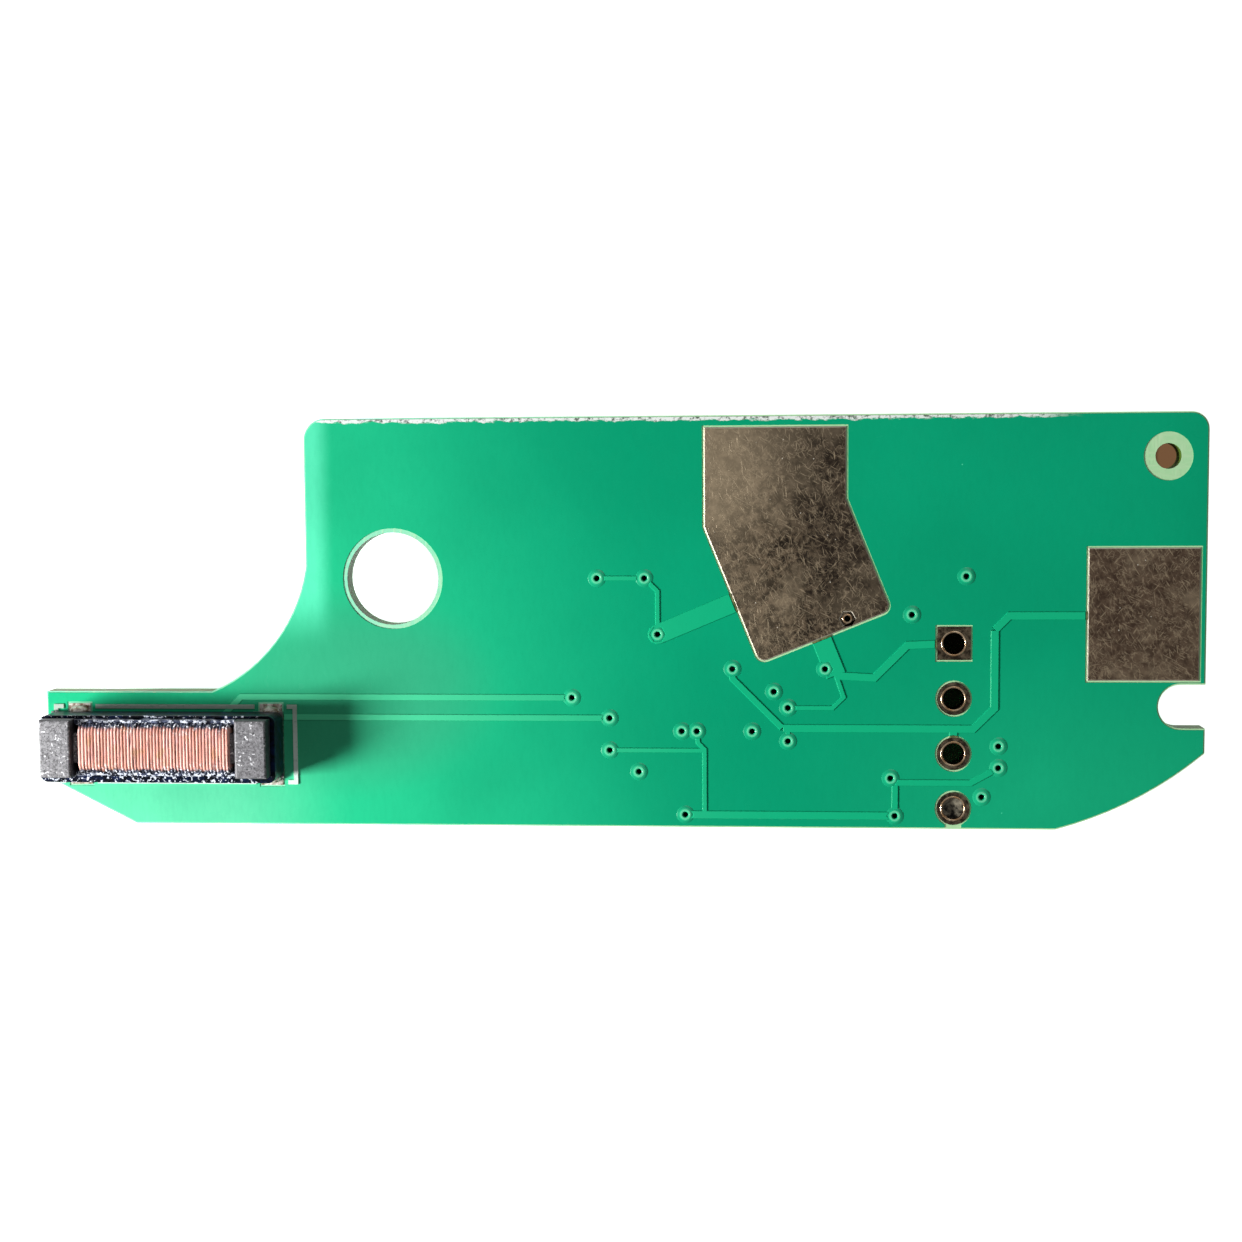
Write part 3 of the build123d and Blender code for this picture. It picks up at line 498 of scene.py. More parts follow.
def ferriteMaterial():
    # sintered ferrite: a gritty grey with bright and dark crystals
    look = ferriteLook
    material, shader, place = startMaterial("ferriteGrey", 0.5, specular=0.35)
    x = partsOf(place)["X"]
    grain = noiseOf(place, 8.0, 6.0, 0.75)
    pale = mixOf(rangeOf(x, *look["drift"]), look["paleLeft"], look["paleRight"])
    colour = mixOf(rangeOf(grain, 0.36, 0.62), look["dark"], pale)
    patches = rangeOf(noiseOf(place, 1.6, 2.0), 0.36, 0.6)
    crystals = noiseOf(mapped(place, (1, 1, 1), 0, (5, 9, 0)), 7.5, 1.0)
    crystals = rangeOf(crystals, 0.64, 0.69)
    colour = mixOf(times(crystals, patches), colour, look["crystal"])
    pores = noiseOf(mapped(place, (1, 1, 1), 31, (3, 5, 0)), 9.0, 1.0)
    pores = rangeOf(pores, 0.36, 0.31)
    colour = mixOf(times(pores, 0.75), colour, look["pore"])
    # the sides are darker than the top
    up = rangeOf(facingOf(place), 0.55, 0.9)
    side = mixOf(rangeOf(grain, 0.4, 0.62), look["sideDark"], look["sideLight"])
    colour = mixOf(up, side, colour)
    rough = rangeOf(grain, 0.3, 0.7, 0.4, 0.65)
    height = plus(grain, times(crystals, 0.6))
    wire(shader, colour, rough, bumpOf(height, 0.6, 0.03))
    return material


def fleckNoise(place):
    return noiseOf(mapped(place, (1, 1, 1), 12, (2, 8, 0)), 6.5, 2.0, 0.6)


lacquerLook = {
    "fleck": (226, 232, 244),
    "fleckFrom": 0.66,
    "fleckSpread": 0.04,
    "fleckGain": 0.17,
}


def lacquerMaterial(name, deep, tint, fleckShare, until):
    # dark coating with fine bright flecks on top, left of a given place
    look = lacquerLook
    material, shader, place = startMaterial(
        name, 0.34, specular=0.14, coat=0.06, coatRoughness=0.12
    )
    wave = noiseOf(place, 2.2, 5.0, 0.65, 0.3)
    colour = mixOf(rangeOf(wave, 0.42, 0.7), deep, tint)
    start = look["fleckFrom"] - look["fleckGain"] * fleckShare
    flecks = rangeOf(fleckNoise(place), start, start + look["fleckSpread"])
    lit = rangeOf(noiseOf(place, 1.9, 3.0), 0.3, 0.46)
    x = partsOf(place)["X"]
    up = rangeOf(facingOf(place), 0.1, 0.6)
    flecks = times(flecks, lit, up, rangeOf(x, until, until - 0.3))
    colour = mixOf(flecks, colour, look["fleck"])
    height = plus(wave, noiseOf(place, 7.0, 3.0))
    wire(shader, colour, None, bumpOf(height, 0.5, 0.04))
    return material


windingTones = {
    "turnDark": (204, 142, 124),
    "turnLight": (242, 184, 170),
    "streak": (236, 180, 190),
    "amber": (196, 146, 92),
    "gap": (92, 60, 58),
    "lacquerDark": (10, 13, 26),
    "lacquerLight": (80, 88, 112),
    "fleck": (236, 238, 246),
    "glint": (250, 238, 240),
    "halfWidth": 1.2,
}


def windingMaterial(middleY):
    # enamelled wire: salmon turns that fade into dark flecked lacquer along both borders
    look = windingTones
    half = look["halfWidth"]
    material, shader, place = startMaterial("coilCopper", 0.62, metallic=0.05, specular=0.2)
    y = partsOf(place)["Y"]
    tone = noiseOf(mapped(place, (7.0, 0.35, 1.0)), 1.0, 2.0)
    streak = noiseOf(mapped(place, (6.0, 1.4, 1.0)), 1.3, 5.0, 0.7)
    amber = noiseOf(place, 1.1, 3.0)
    gaps = noiseOf(mapped(place, (11.0, 0.7, 1.0), 0, (4, 4, 0)), 1.0, 3.0, 0.6)
    copper = mixOf(rangeOf(tone, 0.34, 0.62), look["turnDark"], look["turnLight"])
    copper = laid(copper, look["streak"], streak, 0.5, 0.72, 0.0, 0.5)
    copper = laid(copper, look["amber"], amber, 0.54, 0.7, 0.0, 0.6)
    copper = laid(copper, look["gap"], gaps, 0.56, 0.66, 0.0, 0.75)
    off = sizeOf(minus(y, middleY / mm))
    fringe = noiseOf(mapped(place, (3.2, 1.2, 1)), 1.4, 5.0, 0.7)
    ragged = plus(off, times(fringe, 0.5))
    border = rangeOf(ragged, half - 0.08, half + 0.1)
    lacquer = rangeOf(noiseOf(place, 2.4, 5.0, 0.7), 0.4, 0.62)
    lacquer = mixOf(lacquer, look["lacquerDark"], look["lacquerLight"])
    flecks = rangeOf(fleckNoise(place), 0.57, 0.61)
    lacquer = mixOf(flecks, lacquer, look["fleck"])
    besideBorder = rangeOf(ragged, half - 0.5, half - 0.1)
    copper = mixOf(times(flecks, besideBorder, 0.45), copper, look["glint"])
    colour = mixOf(border, copper, lacquer)
    wire(shader, colour, None, bumpOf(streak, 0.5, 0.02))
    return material


def plasticMaterial(name, base, worn, roughness, scale):
    material, shader, place = startMaterial(name, roughness, specular=0.4)
    grain = noiseOf(place, scale, 4.0, 0.6)
    cloud = noiseOf(place, 0.6, 2.0)
    colour = mixOf(rangeOf(grain, 0.4, 0.75, 0.0, 0.5), base, worn)
    colour = laid(colour, worn, cloud, 0.5, 0.8, 0.0, 0.3)
    rough = rangeOf(grain, 0.3, 0.7, roughness - 0.1, roughness + 0.12)
    wire(shader, colour, rough, bumpOf(grain, 0.35, 0.02))
    return material


steelLook = {
    "dark": (168, 168, 166),
    "light": (206, 206, 204),
    "stain": (140, 134, 124),
}


def steelMaterial(name, turn):
    # sheet steel, brushed in one direction and a little stained
    look = steelLook
    material, shader, place = startMaterial(name, 0.3, metallic=1.0)
    brush = noiseOf(mapped(place, (0.6, 26.0, 26.0), turn), 1.0, 3.0)
    stain = noiseOf(place, 0.9, 4.0, 0.6)
    colour = mixOf(rangeOf(brush, 0.3, 0.7), look["dark"], look["light"])
    colour = laid(colour, look["stain"], stain, 0.55, 0.75, 0.0, 0.35)
    rough = rangeOf(brush, 0.3, 0.7, 0.24, 0.42)
    wire(shader, colour, rough, bumpOf(brush, 0.2, 0.006))
    return material


inkLook = {
    "shadedGrey": (178, 196, 182),
    "white": (226, 244, 234),
    "thin": (120, 176, 148),
    "drift": (-3.7, -6.0),
}


def inkMaterial():
    # white ink that thins in spots; a painted shade makes it greyer towards the top of the coil's
    # outline
    look = inkLook
    material, shader, place = startMaterial("legendInk", 0.42, specular=0.35)
    y = partsOf(place)["Y"]
    thin = noiseOf(place, 5.0, 4.0, 0.65)
    body = mixOf(rangeOf(y, *look["drift"]), look["shadedGrey"], look["white"])
    colour = mixOf(rangeOf(thin, 0.5, 0.72, 0.0, 0.6), body, look["thin"])
    wire(shader, colour, None, bumpOf(thin, 0.4, 0.01))
    return material


edgePlan = {"left": -23.0, "armTop": 6.3, "trayInset": 0.65}
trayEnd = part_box("coil_base")[1].x / mm - edgePlan["trayInset"]
leftEdge = onBoard(edgePlan["left"], 0).x / mm
armEdge = onBoard(0, edgePlan["armTop"]).y / mm
maskEdges = (leftEdge, boardHigh.x / mm, armEdge, boardHigh.y / mm)
padSide = {"sheet": maskLevel, "way": 1.0, "gloss": 0.12, "slope": 0.18, "edges": maskEdges}
skinSide = {**padSide, "gloss": 0.45, "slope": 0.0}
buttonSide = {**padSide, "sheet": underLevel - maskSheet, "way": -1.0}
looks = {
    "maskPadSide": maskMaterial("maskPadSide", padSide),
    "maskSkin": maskMaterial("maskSkin", skinSide),
    "maskButtonSide": maskMaterial("maskButtonSide", buttonSide),
    "laminate": laminateMaterial(),
    "plating": platingMaterial("contactPlating"),
    "barrel": barrelMaterial(),
    "rim": rimMaterial(),
    "ink": inkMaterial(),
    "ferrite": ferriteMaterial(),
    "tray": lacquerMaterial("trayLacquer", (3, 6, 16), (16, 34, 72), 0.55, trayEnd),
    "resin": lacquerMaterial("coilResin", (12, 15, 28), (92, 100, 126), 1.0, trayEnd),
    "winding": windingMaterial(coilMiddle.y),
    "coverSteel": steelMaterial("switchSteel", 4),
    "domeSteel": steelMaterial("domeSteel", 63),
}
# look, material, dark and light tone, scale, roughness, metallic
for look, *settings in (
    ("copper", "trackCopper", (96, 112, 66), (150, 164, 108), 4.0, 0.4, 0.5),
    ("wireCopper", "wireCopper", (150, 84, 50), (214, 140, 96), 4.0, 0.35, 0.95),
    ("solder", "solderTin", (120, 120, 118), (214, 214, 210), 3.0, 0.3, 0.95),
    ("landSolder", "landSolder", (132, 104, 78), (252, 250, 242), 3.6, 0.35, 0.25),
    ("plug", "darkSolder", (14, 13, 10), (190, 182, 160), 2.6, 0.3, 0.4),
):
    looks[look] = solderMaterial(*settings)
# look, material, base and worn tone, roughness, scale
for look, *settings in (
    ("caseBlack", "switchCase", (22, 22, 23), (44, 44, 46), 0.5, 6.0),
    ("plungerBlack", "plungerPlastic", (26, 26, 27), (60, 60, 62), 0.38, 9.0),
    ("chipBlack", "chipCase", (30, 30, 32), (56, 56, 58), 0.62, 12.0),
    ("ceramicTan", "ceramicTan", (170, 138, 100), (196, 166, 126), 0.45, 7.0),
    ("ceramicWhite", "ceramicWhite", (222, 220, 212), (240, 238, 232), 0.4, 7.0),
    ("filmBlack", "resistorFilm", (20, 20, 24), (40, 40, 46), 0.25, 8.0),
):
    looks[look] = plasticMaterial(*settings)

nodeLooks = {
    "laminate": ["laminate"],
    "maskPadSide": ["mask_pad_side"],
    "maskButtonSide": ["mask_button_side"],
    "copper": ["tracks_pad_side", "tracks_button_side"],
    "plating": ["battery_pad_angled", "battery_pad_edge"],
    "landSolder": ["coil_lands"],
    "barrel": ["program_hole_square", "program_holes_round", "via_barrels"],
    "plug": ["solder_plug"],
    "ink": ["legend_pad_side", "legend_button_side"],
    "tray": ["coil_base"],
    "ferrite": ["coil_core"],
    "solder": ["component_lands", "coil_terminals", "chip_leads", "transistor_leads"],
    "chipBlack": ["chip_body", "transistor_body"],
    "ceramicTan": ["capacitor_bodies"],
    "ceramicWhite": ["crystal_base", "resistor_bodies", "inductor_bodies"],
    "filmBlack": ["resistor_films"],
    "wireCopper": ["inductor_windings"],
    "coverSteel": ["crystal_lid"],
    "caseBlack": [],
    "plungerBlack": [],
    "domeSteel": [],
}
nodeLooks["solder"] += [f"{kind}_ends" for kind in ("capacitor", "resistor", "inductor")]
switchLooks = {
    "base": "caseBlack",
    "terminals": "solder",
    "dome": "domeSteel",
    "plunger": "plungerBlack",
    "cover": "coverSteel",
}
for part, look in switchLooks.items():
    nodeLooks[look] += [f"switch_{number}_{part}" for number in (1, 2, 3)]


def dress(piece, look):
    piece.data.materials.clear()
    piece.data.materials.append(looks[look])
    for face in piece.data.polygons:
        face.material_index = 0


for look, nodes in nodeLooks.items():
    for node in nodes:
        dress(frame["nodes"][node], look)
print("materials set")


# ---- modelling helpers ----
def editAll():
    bpy.ops.object.mode_set(mode="EDIT")
    bpy.ops.mesh.select_all(action="SELECT")


def leaveEdit():
    bpy.ops.object.mode_set(mode="OBJECT")


def selectOpenEdges():
    bpy.ops.mesh.select_all(action="DESELECT")
    bpy.ops.mesh.select_non_manifold()


def applyPlace():
    bpy.ops.object.transform_apply(location=True, rotation=True, scale=True)


def clearSelection():
    if bpy.context.object and bpy.context.object.mode != "OBJECT":
        leaveEdit()
    bpy.ops.object.select_all(action="DESELECT")


def choose(*pieces):
    clearSelection()
    for piece in pieces:
        piece.select_set(True)
    bpy.context.view_layer.objects.active = pieces[0]


def settle(piece, name, look, angle=40):
    # place into the mesh, normals out, smooth, named, dressed and riding on the board
    choose(piece)
    applyPlace()
    editAll()
    bpy.ops.mesh.normals_make_consistent(inside=False)
    leaveEdit()
    if angle:
        bpy.ops.object.shade_smooth_by_angle(angle=math.radians(angle))
    else:
        bpy.ops.object.shade_flat()
    piece.name = name
    piece.data.name = name
    dress(piece, look)
    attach(piece, "board")
    return piece


def joined(pieces):
    choose(*pieces)
    if len(pieces) > 1:
        bpy.ops.object.join()
    return bpy.context.object


def copyTo(piece, offset):
    choose(piece)
    bpy.ops.object.duplicate(linked=False)
    twin = bpy.context.object
    twin.location = offset
    return twin


def copiesOf(piece, places):
    # a copy at each place, instead of the piece itself
    copies = [copyTo(piece, place) for place in places]
    bpy.data.objects.remove(piece)
    return copies


def applyModifiers(piece):
    choose(piece)
    for modifier in list(piece.modifiers):
        bpy.ops.object.modifier_apply(modifier=modifier.name)


def extrudeBy(step):
    bpy.ops.mesh.extrude_region_move(TRANSFORM_OT_translate={"value": step})


def roughen(piece, texture, grain, strength, coords="GLOBAL"):
    # cloudy lumps of the given grain and strength in millimetres, applied with any other modifier
    if texture not in bpy.data.textures:
        bpy.data.textures.new(texture, "CLOUDS").noise_scale = grain * mm
    lumps = piece.modifiers.new("lumps", "DISPLACE")
    lumps.texture = bpy.data.textures[texture]
    lumps.texture_coords = coords
    lumps.mid_level = 0.5
    lumps.strength = strength * mm
    applyModifiers(piece)


def turnedRing(profile, sides):
    # a closed ring about the Z axis through the given (radius, height) points, in millimetres
    radius, height = profile[0]
    clearSelection()
    bpy.ops.mesh.primitive_circle_add(vertices=sides, radius=radius * mm, location=(0, 0, 0))
    ring = bpy.context.object
    editAll()
    bpy.ops.transform.translate(value=(0, 0, height * mm))
    for nextRadius, nextHeight in profile[1:]:
        extrudeBy((0, 0, (nextHeight - height) * mm))
        scale = nextRadius / radius
        bpy.ops.transform.resize(value=(scale, scale, 1), center_override=(0, 0, nextHeight * mm))
        radius, height = nextRadius, nextHeight
    selectOpenEdges()
    bpy.ops.mesh.bridge_edge_loops()
    leaveEdit()
    return ring


def islandsOf(node):
    # low corner, high corner and middle of each separate solid of a CAD node
    net = bmesh.new()
    net.from_mesh(frame["nodes"][node].data)
    bmesh.ops.remove_doubles(net, verts=net.verts, dist=mergeReach)
    left = set(net.verts)
    found = []
    while left:
        stack = [left.pop()]
        points = []
        while stack:
            point = stack.pop()
            points.append(point.co.copy())
            for edge in point.link_edges:
                other = edge.other_vert(point)
                if other in left:
                    left.remove(other)
                    stack.append(other)
        low = Vector([min(p[i] for p in points) for i in range(3)])
        high = Vector([max(p[i] for p in points) for i in range(3)])
        found.append((low, high, (low + high) / 2))
    net.free()
    return sorted(found, key=lambda item: (round(item[2].x, 6), round(item[2].y, 6)))


def copyOfNode(node, name):
    piece = bpy.data.objects.new(name, frame["nodes"][node].data.copy())
    bpy.context.scene.collection.objects.link(piece)
    choose(piece)
    return piece


def mergedCopy(node, name):
    piece = copyOfNode(node, name)
    editAll()
    bpy.ops.mesh.remove_doubles(threshold=mergeReach)
    bpy.ops.mesh.dissolve_limited(angle_limit=math.radians(1))
    leaveEdit()
    return piece


easeLook = {"angle": 35, "clampOver": 0.04, "plateSlack": 0.004}


def softCopy(node, name, look, slot, width, segments):
    # a merged copy of a node with its edges eased, in place of the node
    piece = mergedCopy(node, name)
    ease = piece.modifiers.new("ease", "BEVEL")
    ease.width = width * mm
    ease.segments = segments
    ease.limit_method = "ANGLE"
    ease.angle_limit = math.radians(easeLook["angle"])
    ease.use_clamp_overlap = width > easeLook["clampOver"]
    applyModifiers(piece)
    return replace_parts(settle(piece, name, look, angle=0), node)


def easedPlate(node, name, look, slot, width, drop):
    # a copy of a thin plate, in its place: its highest faces are filled anew inside sloped rims
    piece = mergedCopy(node, name)
    bpy.ops.object.mode_set(mode="EDIT")
    bpy.ops.mesh.select_mode(type="FACE")
    bpy.ops.mesh.select_all(action="DESELECT")
    leaveEdit()
    highest = max(point.co.z for point in piece.data.vertices) - easeLook["plateSlack"] * mm
    for face in piece.data.polygons:
        face.select = face.normal.z > 0.9 and face.center.z > highest
    bpy.ops.object.mode_set(mode="EDIT")
    bpy.ops.mesh.inset(thickness=width * mm, depth=0)
    bpy.ops.mesh.delete(type="FACE")
    bpy.ops.mesh.select_mode(type="EDGE")
    selectOpenEdges()
    bpy.ops.mesh.fill(use_beauty=True)
    bpy.ops.mesh.select_mode(type="VERT")
    bpy.ops.mesh.select_all(action="DESELECT")
    leaveEdit()
    walls = [face for face in piece.data.polygons if abs(face.normal.z) < 0.5]
    for index in {index for face in walls for index in face.vertices}:
        point = piece.data.vertices[index]
        if point.co.z > highest:
            point.co.z -= drop * mm
    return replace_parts(settle(piece, name, look, angle=0), node)


# ---- mask skin over the small plated holes ----
viaSkin = {
    "profile": (
        (0.43, -0.004), (0.415, 0.003), (0.385, 0.013), (0.353, 0.0235), (0.3, 0.031),
        (0.268, 0.041), (0.225, 0.05), (0.17, 0.05), (0.138, 0.036), (0.122, 0.0),
        (0.116, -0.25), (0.138, -0.25),
    ),
    "sides": 24,
    "padReach": 3.6,
}
padLow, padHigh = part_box("battery_pad_angled")


def inPad(spot):
    # in the right part of the angled pad, which fills its box there
    across = padHigh.x - viaSkin["padReach"] * mm < spot.x < padHigh.x
    return across and padLow.y < spot.y < padHigh.y


smallHoles = [middle for low, high, middle in islandsOf("via_barrels")]
padHoles = [spot for spot in smallHoles if inPad(spot)]
skinPlaces = [(spot.x, spot.y, maskLevel) for spot in smallHoles if not inPad(spot)]
viaSkins = copiesOf(turnedRing(viaSkin["profile"], viaSkin["sides"]), skinPlaces)
print("small holes", len(viaSkins), "in the pad", len(padHoles))
viaSkins = settle(joined(viaSkins), "viaSkins", "maskSkin", angle=60)
print("hole skins done")

# ---- copper rims of the header holes and of the small holes in the pad ----
rimLook = {
    "profile": (
        (0.585, 0.0), (0.58, 0.012), (0.55, 0.02), (0.52, 0.018), (0.495, 0.004), (0.49, -0.3),
        (0.515, -0.3),
    ),
    "sides": 40,
    "smallProfile": (
        (0.225, 0.0), (0.215, 0.01), (0.18, 0.014), (0.15, 0.01), (0.132, -0.1), (0.142, -0.1),
    ),
    "smallSides": 24,
}
headerNodes = ("program_hole_square", "program_holes_round")
headerHoles = [middle for node in headerNodes for low, high, middle in islandsOf(node)]
rimPlaces = [(spot.x, spot.y, copperLevel) for spot in headerHoles]
smallPlaces = [(spot.x, spot.y, copperLevel) for spot in padHoles]
holeRims = copiesOf(turnedRing(rimLook["profile"], rimLook["sides"]), rimPlaces)
holeRims += copiesOf(turnedRing(rimLook["smallProfile"], rimLook["smallSides"]), smallPlaces)
print("header holes", len(headerHoles))
holeRims = settle(joined(holeRims), "holeRims", "rim", angle=60)
print("hole rims done")

# ---- coil winding: one turn's rib, repeated along the core ----
windingLook = {
    "turns": 46,
    "corner": 0.42,
    "cuts": 5,
    "outerShare": 0.99,
    "rib": 0.045,
    "ribShares": (0.75, 1.0, 1.0, 0.75, 0.0),
    "inset": 0.07,
    "merge": 0.004,
    "wobble": 0.03,
    "ripple": 0.6,
}


def roundedLoop(wide, tall):
    # a loop of points round the core at the winding's start, with rounded corners
    start = (windLow.x, coilMiddle.y, coilMiddle.z)
    clearSelection()
    bpy.ops.mesh.primitive_plane_add(size=1, location=start, rotation=(0, math.radians(90), 0))
    loop = bpy.context.object
    loop.scale = (tall, wide, 1)
    applyPlace()
    editAll()
    bpy.ops.mesh.subdivide(number_cuts=windingLook["cuts"])
    bpy.ops.mesh.delete(type="ONLY_FACE")
    bpy.ops.mesh.select_all(action="DESELECT")
    leaveEdit()
    # only the outer points stay
    for point in loop.data.vertices:
        away = point.co - coilMiddle
        share = max(abs(away.y) * 2 / wide, abs(away.z) * 2 / tall)
        point.select = share < windingLook["outerShare"]
    bpy.ops.object.mode_set(mode="EDIT")
    bpy.ops.mesh.delete(type="VERT")
    leaveEdit()
    corner = windingLook["corner"] * mm
    reachY, reachZ = wide / 2 - corner, tall / 2 - corner
    for point in loop.data.vertices:
        away = Vector((0, point.co.y - coilMiddle.y, point.co.z - coilMiddle.z))
        if abs(away.y) > reachY and abs(away.z) > reachZ:
            centre = Vector((0, math.copysign(reachY, away.y), math.copysign(reachZ, away.z)))
            rounded = centre + (away - centre).normalized() * corner
            point.co = (point.co.x, coilMiddle.y + rounded.y, coilMiddle.z + rounded.z)
    return loop


def buildWinding():
    size = windHigh - windLow
    pitch = size.x / windingLook["turns"]
    wide = size.y - 2 * windingLook["inset"] * mm
    tall = size.z - 2 * windingLook["inset"] * mm
    turn = roundedLoop(wide, tall)
    choose(turn)
    editAll()
    # the rib of one turn
    grown = 0.0
    for share in windingLook["ribShares"]:
        extrudeBy((pitch / len(windingLook["ribShares"]), 0, 0))
        reach = share * windingLook["rib"] * mm
        factorY = (wide / 2 + reach) / (wide / 2 + grown)
        factorZ = (tall / 2 + reach) / (tall / 2 + grown)
        bpy.ops.transform.resize(value=(1, factorY, factorZ), center_override=coilMiddle)
        grown = reach
    leaveEdit()
    repeat = turn.modifiers.new("turns", "ARRAY")
    repeat.use_relative_offset = False
    repeat.use_constant_offset = True
    repeat.constant_offset_displace = (pitch, 0, 0)
    repeat.count = windingLook["turns"]
    repeat.use_merge_vertices = True
    repeat.merge_threshold = windingLook["merge"] * mm
    roughen(turn, "coilRipple", windingLook["ripple"], windingLook["wobble"], "LOCAL")
    # close both ends
    choose(turn)
    bpy.ops.object.mode_set(mode="EDIT")
    selectOpenEdges()
    bpy.ops.mesh.edge_face_add()
    leaveEdit()
    return turn


winding = settle(buildWinding(), "coilTurns", "winding", angle=80)
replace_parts(winding, "coil_winding")
print("winding done", len(winding.data.polygons))

# ---- hardened resin along both sides of the winding ----
trayLow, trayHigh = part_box("coil_base")
coreLow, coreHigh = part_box("coil_core")
resinLook = {
    "width": 0.34,
    "height": 0.95,
    "top": 5.32,
    "lap": 0.5,
    "lean": 0.02,
    "cuts": (60, 4),
    "shares": (0.55, 0.25, 0.14, 0.06),
    "taper": (0.995, 0.84, 1),
    "rough": 0.14,
    "grain": 0.35,
}


def resinBar(side):
    # a bar against the core's side, narrower at each step up
    edge = coreHigh.y if side > 0 else coreLow.y
    middleY = edge - side * (resinLook["width"] / 2 - resinLook["lean"]) * mm
    foot = (resinLook["top"] - resinLook["height"]) * mm
    cutsX, cutsY = resinLook["cuts"]
    clearSelection()
    bpy.ops.mesh.primitive_grid_add(
        x_subdivisions=cutsX, y_subdivisions=cutsY, size=1, location=(coilMiddle.x, middleY, foot)
    )
    bar = bpy.context.object
    bar.scale = (windHigh.x - windLow.x + resinLook["lap"] * mm, resinLook["width"] * mm, 1)
    applyPlace()
    editAll()
    for index, share in enumerate(resinLook["shares"]):
        extrudeBy((0, 0, share * resinLook["height"] * mm))
        if index:
            centre = (coilMiddle.x, middleY, 0)
            bpy.ops.transform.resize(value=resinLook["taper"], center_override=centre)
    leaveEdit()
    roughen(bar, "resinLumps", resinLook["grain"], resinLook["rough"])
    return bar


resin = settle(joined([resinBar(-1), resinBar(1)]), "coilResin", "resin", angle=60)
print("resin done", len(resin.data.polygons))

# ---- solder lumps where the coil's ends meet their lands ----
lumpLook = {
    "width": 0.9,
    "reach": 0.26,
    "rise": 0.34,
    "sides": (28, 16),
    "rough": 0.12,
    "grain": 0.28,
    "sink": 0.002,
}


def solderLump(low, high, side):
    # a half mound against the tray's side, roughened
    edgeY = trayHigh.y if side > 0 else trayLow.y
    width = (high.x - low.x) * lumpLook["width"]
    place = ((low.x + high.x) / 2, edgeY, copperLevel)
    around, upward = lumpLook["sides"]
    clearSelection()
    bpy.ops.mesh.primitive_uv_sphere_add(
        segments=around, ring_count=upward, radius=1, location=place
    )
    lump = bpy.context.object
    lump.scale = (width / 2, lumpLook["reach"] * mm, lumpLook["rise"] * mm)
    applyPlace()
    editAll()
    bpy.ops.mesh.bisect(
        plane_co=(0, 0, copperLevel), plane_no=(0, 0, 1), clear_inner=True, use_fill=True
    )
    leaveEdit()
    roughen(lump, "lumps", lumpLook["grain"], lumpLook["rough"])
    for point in lump.data.vertices:
        point.co.z = max(point.co.z, copperLevel - lumpLook["sink"] * mm)
    return lump


coilLands = islandsOf("coil_lands")
lumps = [solderLump(low, high, side) for low, high, middle in coilLands for side in (-1, 1)]
lumps = settle(joined(lumps), "coilSolder", "landSolder", angle=60)
print("coil solder done")

# ---- eased copies of the pieces whose edges catch the light ----
# node, name, look, slot, width of the eased edge in millimetres, segments
softPieces = (
    ("coil_base", "coilTray", "tray", "coil_tray", 0.06, 2),
    ("coil_core", "coilCore", "ferrite", "ferrite", 0.03, 1),
    ("chip_body", "chipCase", "chipBlack", "chip_case", 0.05, 1),
    ("transistor_body", "transistorCase", "chipBlack", "chip_case", 0.04, 1),
    ("capacitor_bodies", "capacitorBodies", "ceramicTan", "ceramic_tan", 0.04, 1),
    ("capacitor_ends", "capacitorEnds", "solder", "solder", 0.06, 2),
    ("resistor_ends", "resistorEnds", "solder", "solder", 0.05, 2),
    ("inductor_ends", "inductorEnds", "solder", "solder", 0.05, 2),
    ("crystal_base", "crystalBase", "ceramicWhite", "ceramic_white", 0.04, 1),
    ("crystal_lid", "crystalLid", "coverSteel", "switch_metal", 0.05, 2),
)
# node, name, look, slot, width and drop of the sloped rim in millimetres
easedPlates = (
    ("battery_pad_angled", "padAngled", "plating", "contact_plating", 0.05, 0.022),
    ("battery_pad_edge", "padEdge", "plating", "contact_plating", 0.05, 0.022),
    ("mask_pad_side", "maskPadSide", "maskPadSide", "solder_mask", 0.035, 0.032),
)
for settings in easedPlates:
    piece = easedPlate(*settings)
    print("eased", piece.name, len(piece.data.polygons))
for settings in softPieces:
    piece = softCopy(*settings)
    print("eased", piece.name, len(piece.data.polygons))
for number in (1, 2, 3):
    base, cover = f"switch_{number}_base", f"switch_{number}_cover"
    softCopy(base, f"switchBase{number}", "caseBlack", "switch_case", 0.08, 2)
    softCopy(cover, f"switchCover{number}", "coverSteel", "switch_metal", 0.05, 2)
print("eased copies done")

# ---- snap domes, copied in place of their nodes ----
for number in (1, 2, 3):
    node = f"switch_{number}_dome"
    low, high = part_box(node)
    name = f"snapDome{number}"
    dome = settle(copyOfNode(node, name), name, "domeSteel")
    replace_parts(dome, node)
    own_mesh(dome)
print("snap domes done")

# ---- solder fillets at the ends of the chip components ----
filletLook = {
    "reach": 0.2,
    "rise": 0.3,
    "width": 0.92,
    "cuts": 2,
    "hollow": 1.7,
    "foot": 0.012,
    "taper": 0.14,
}


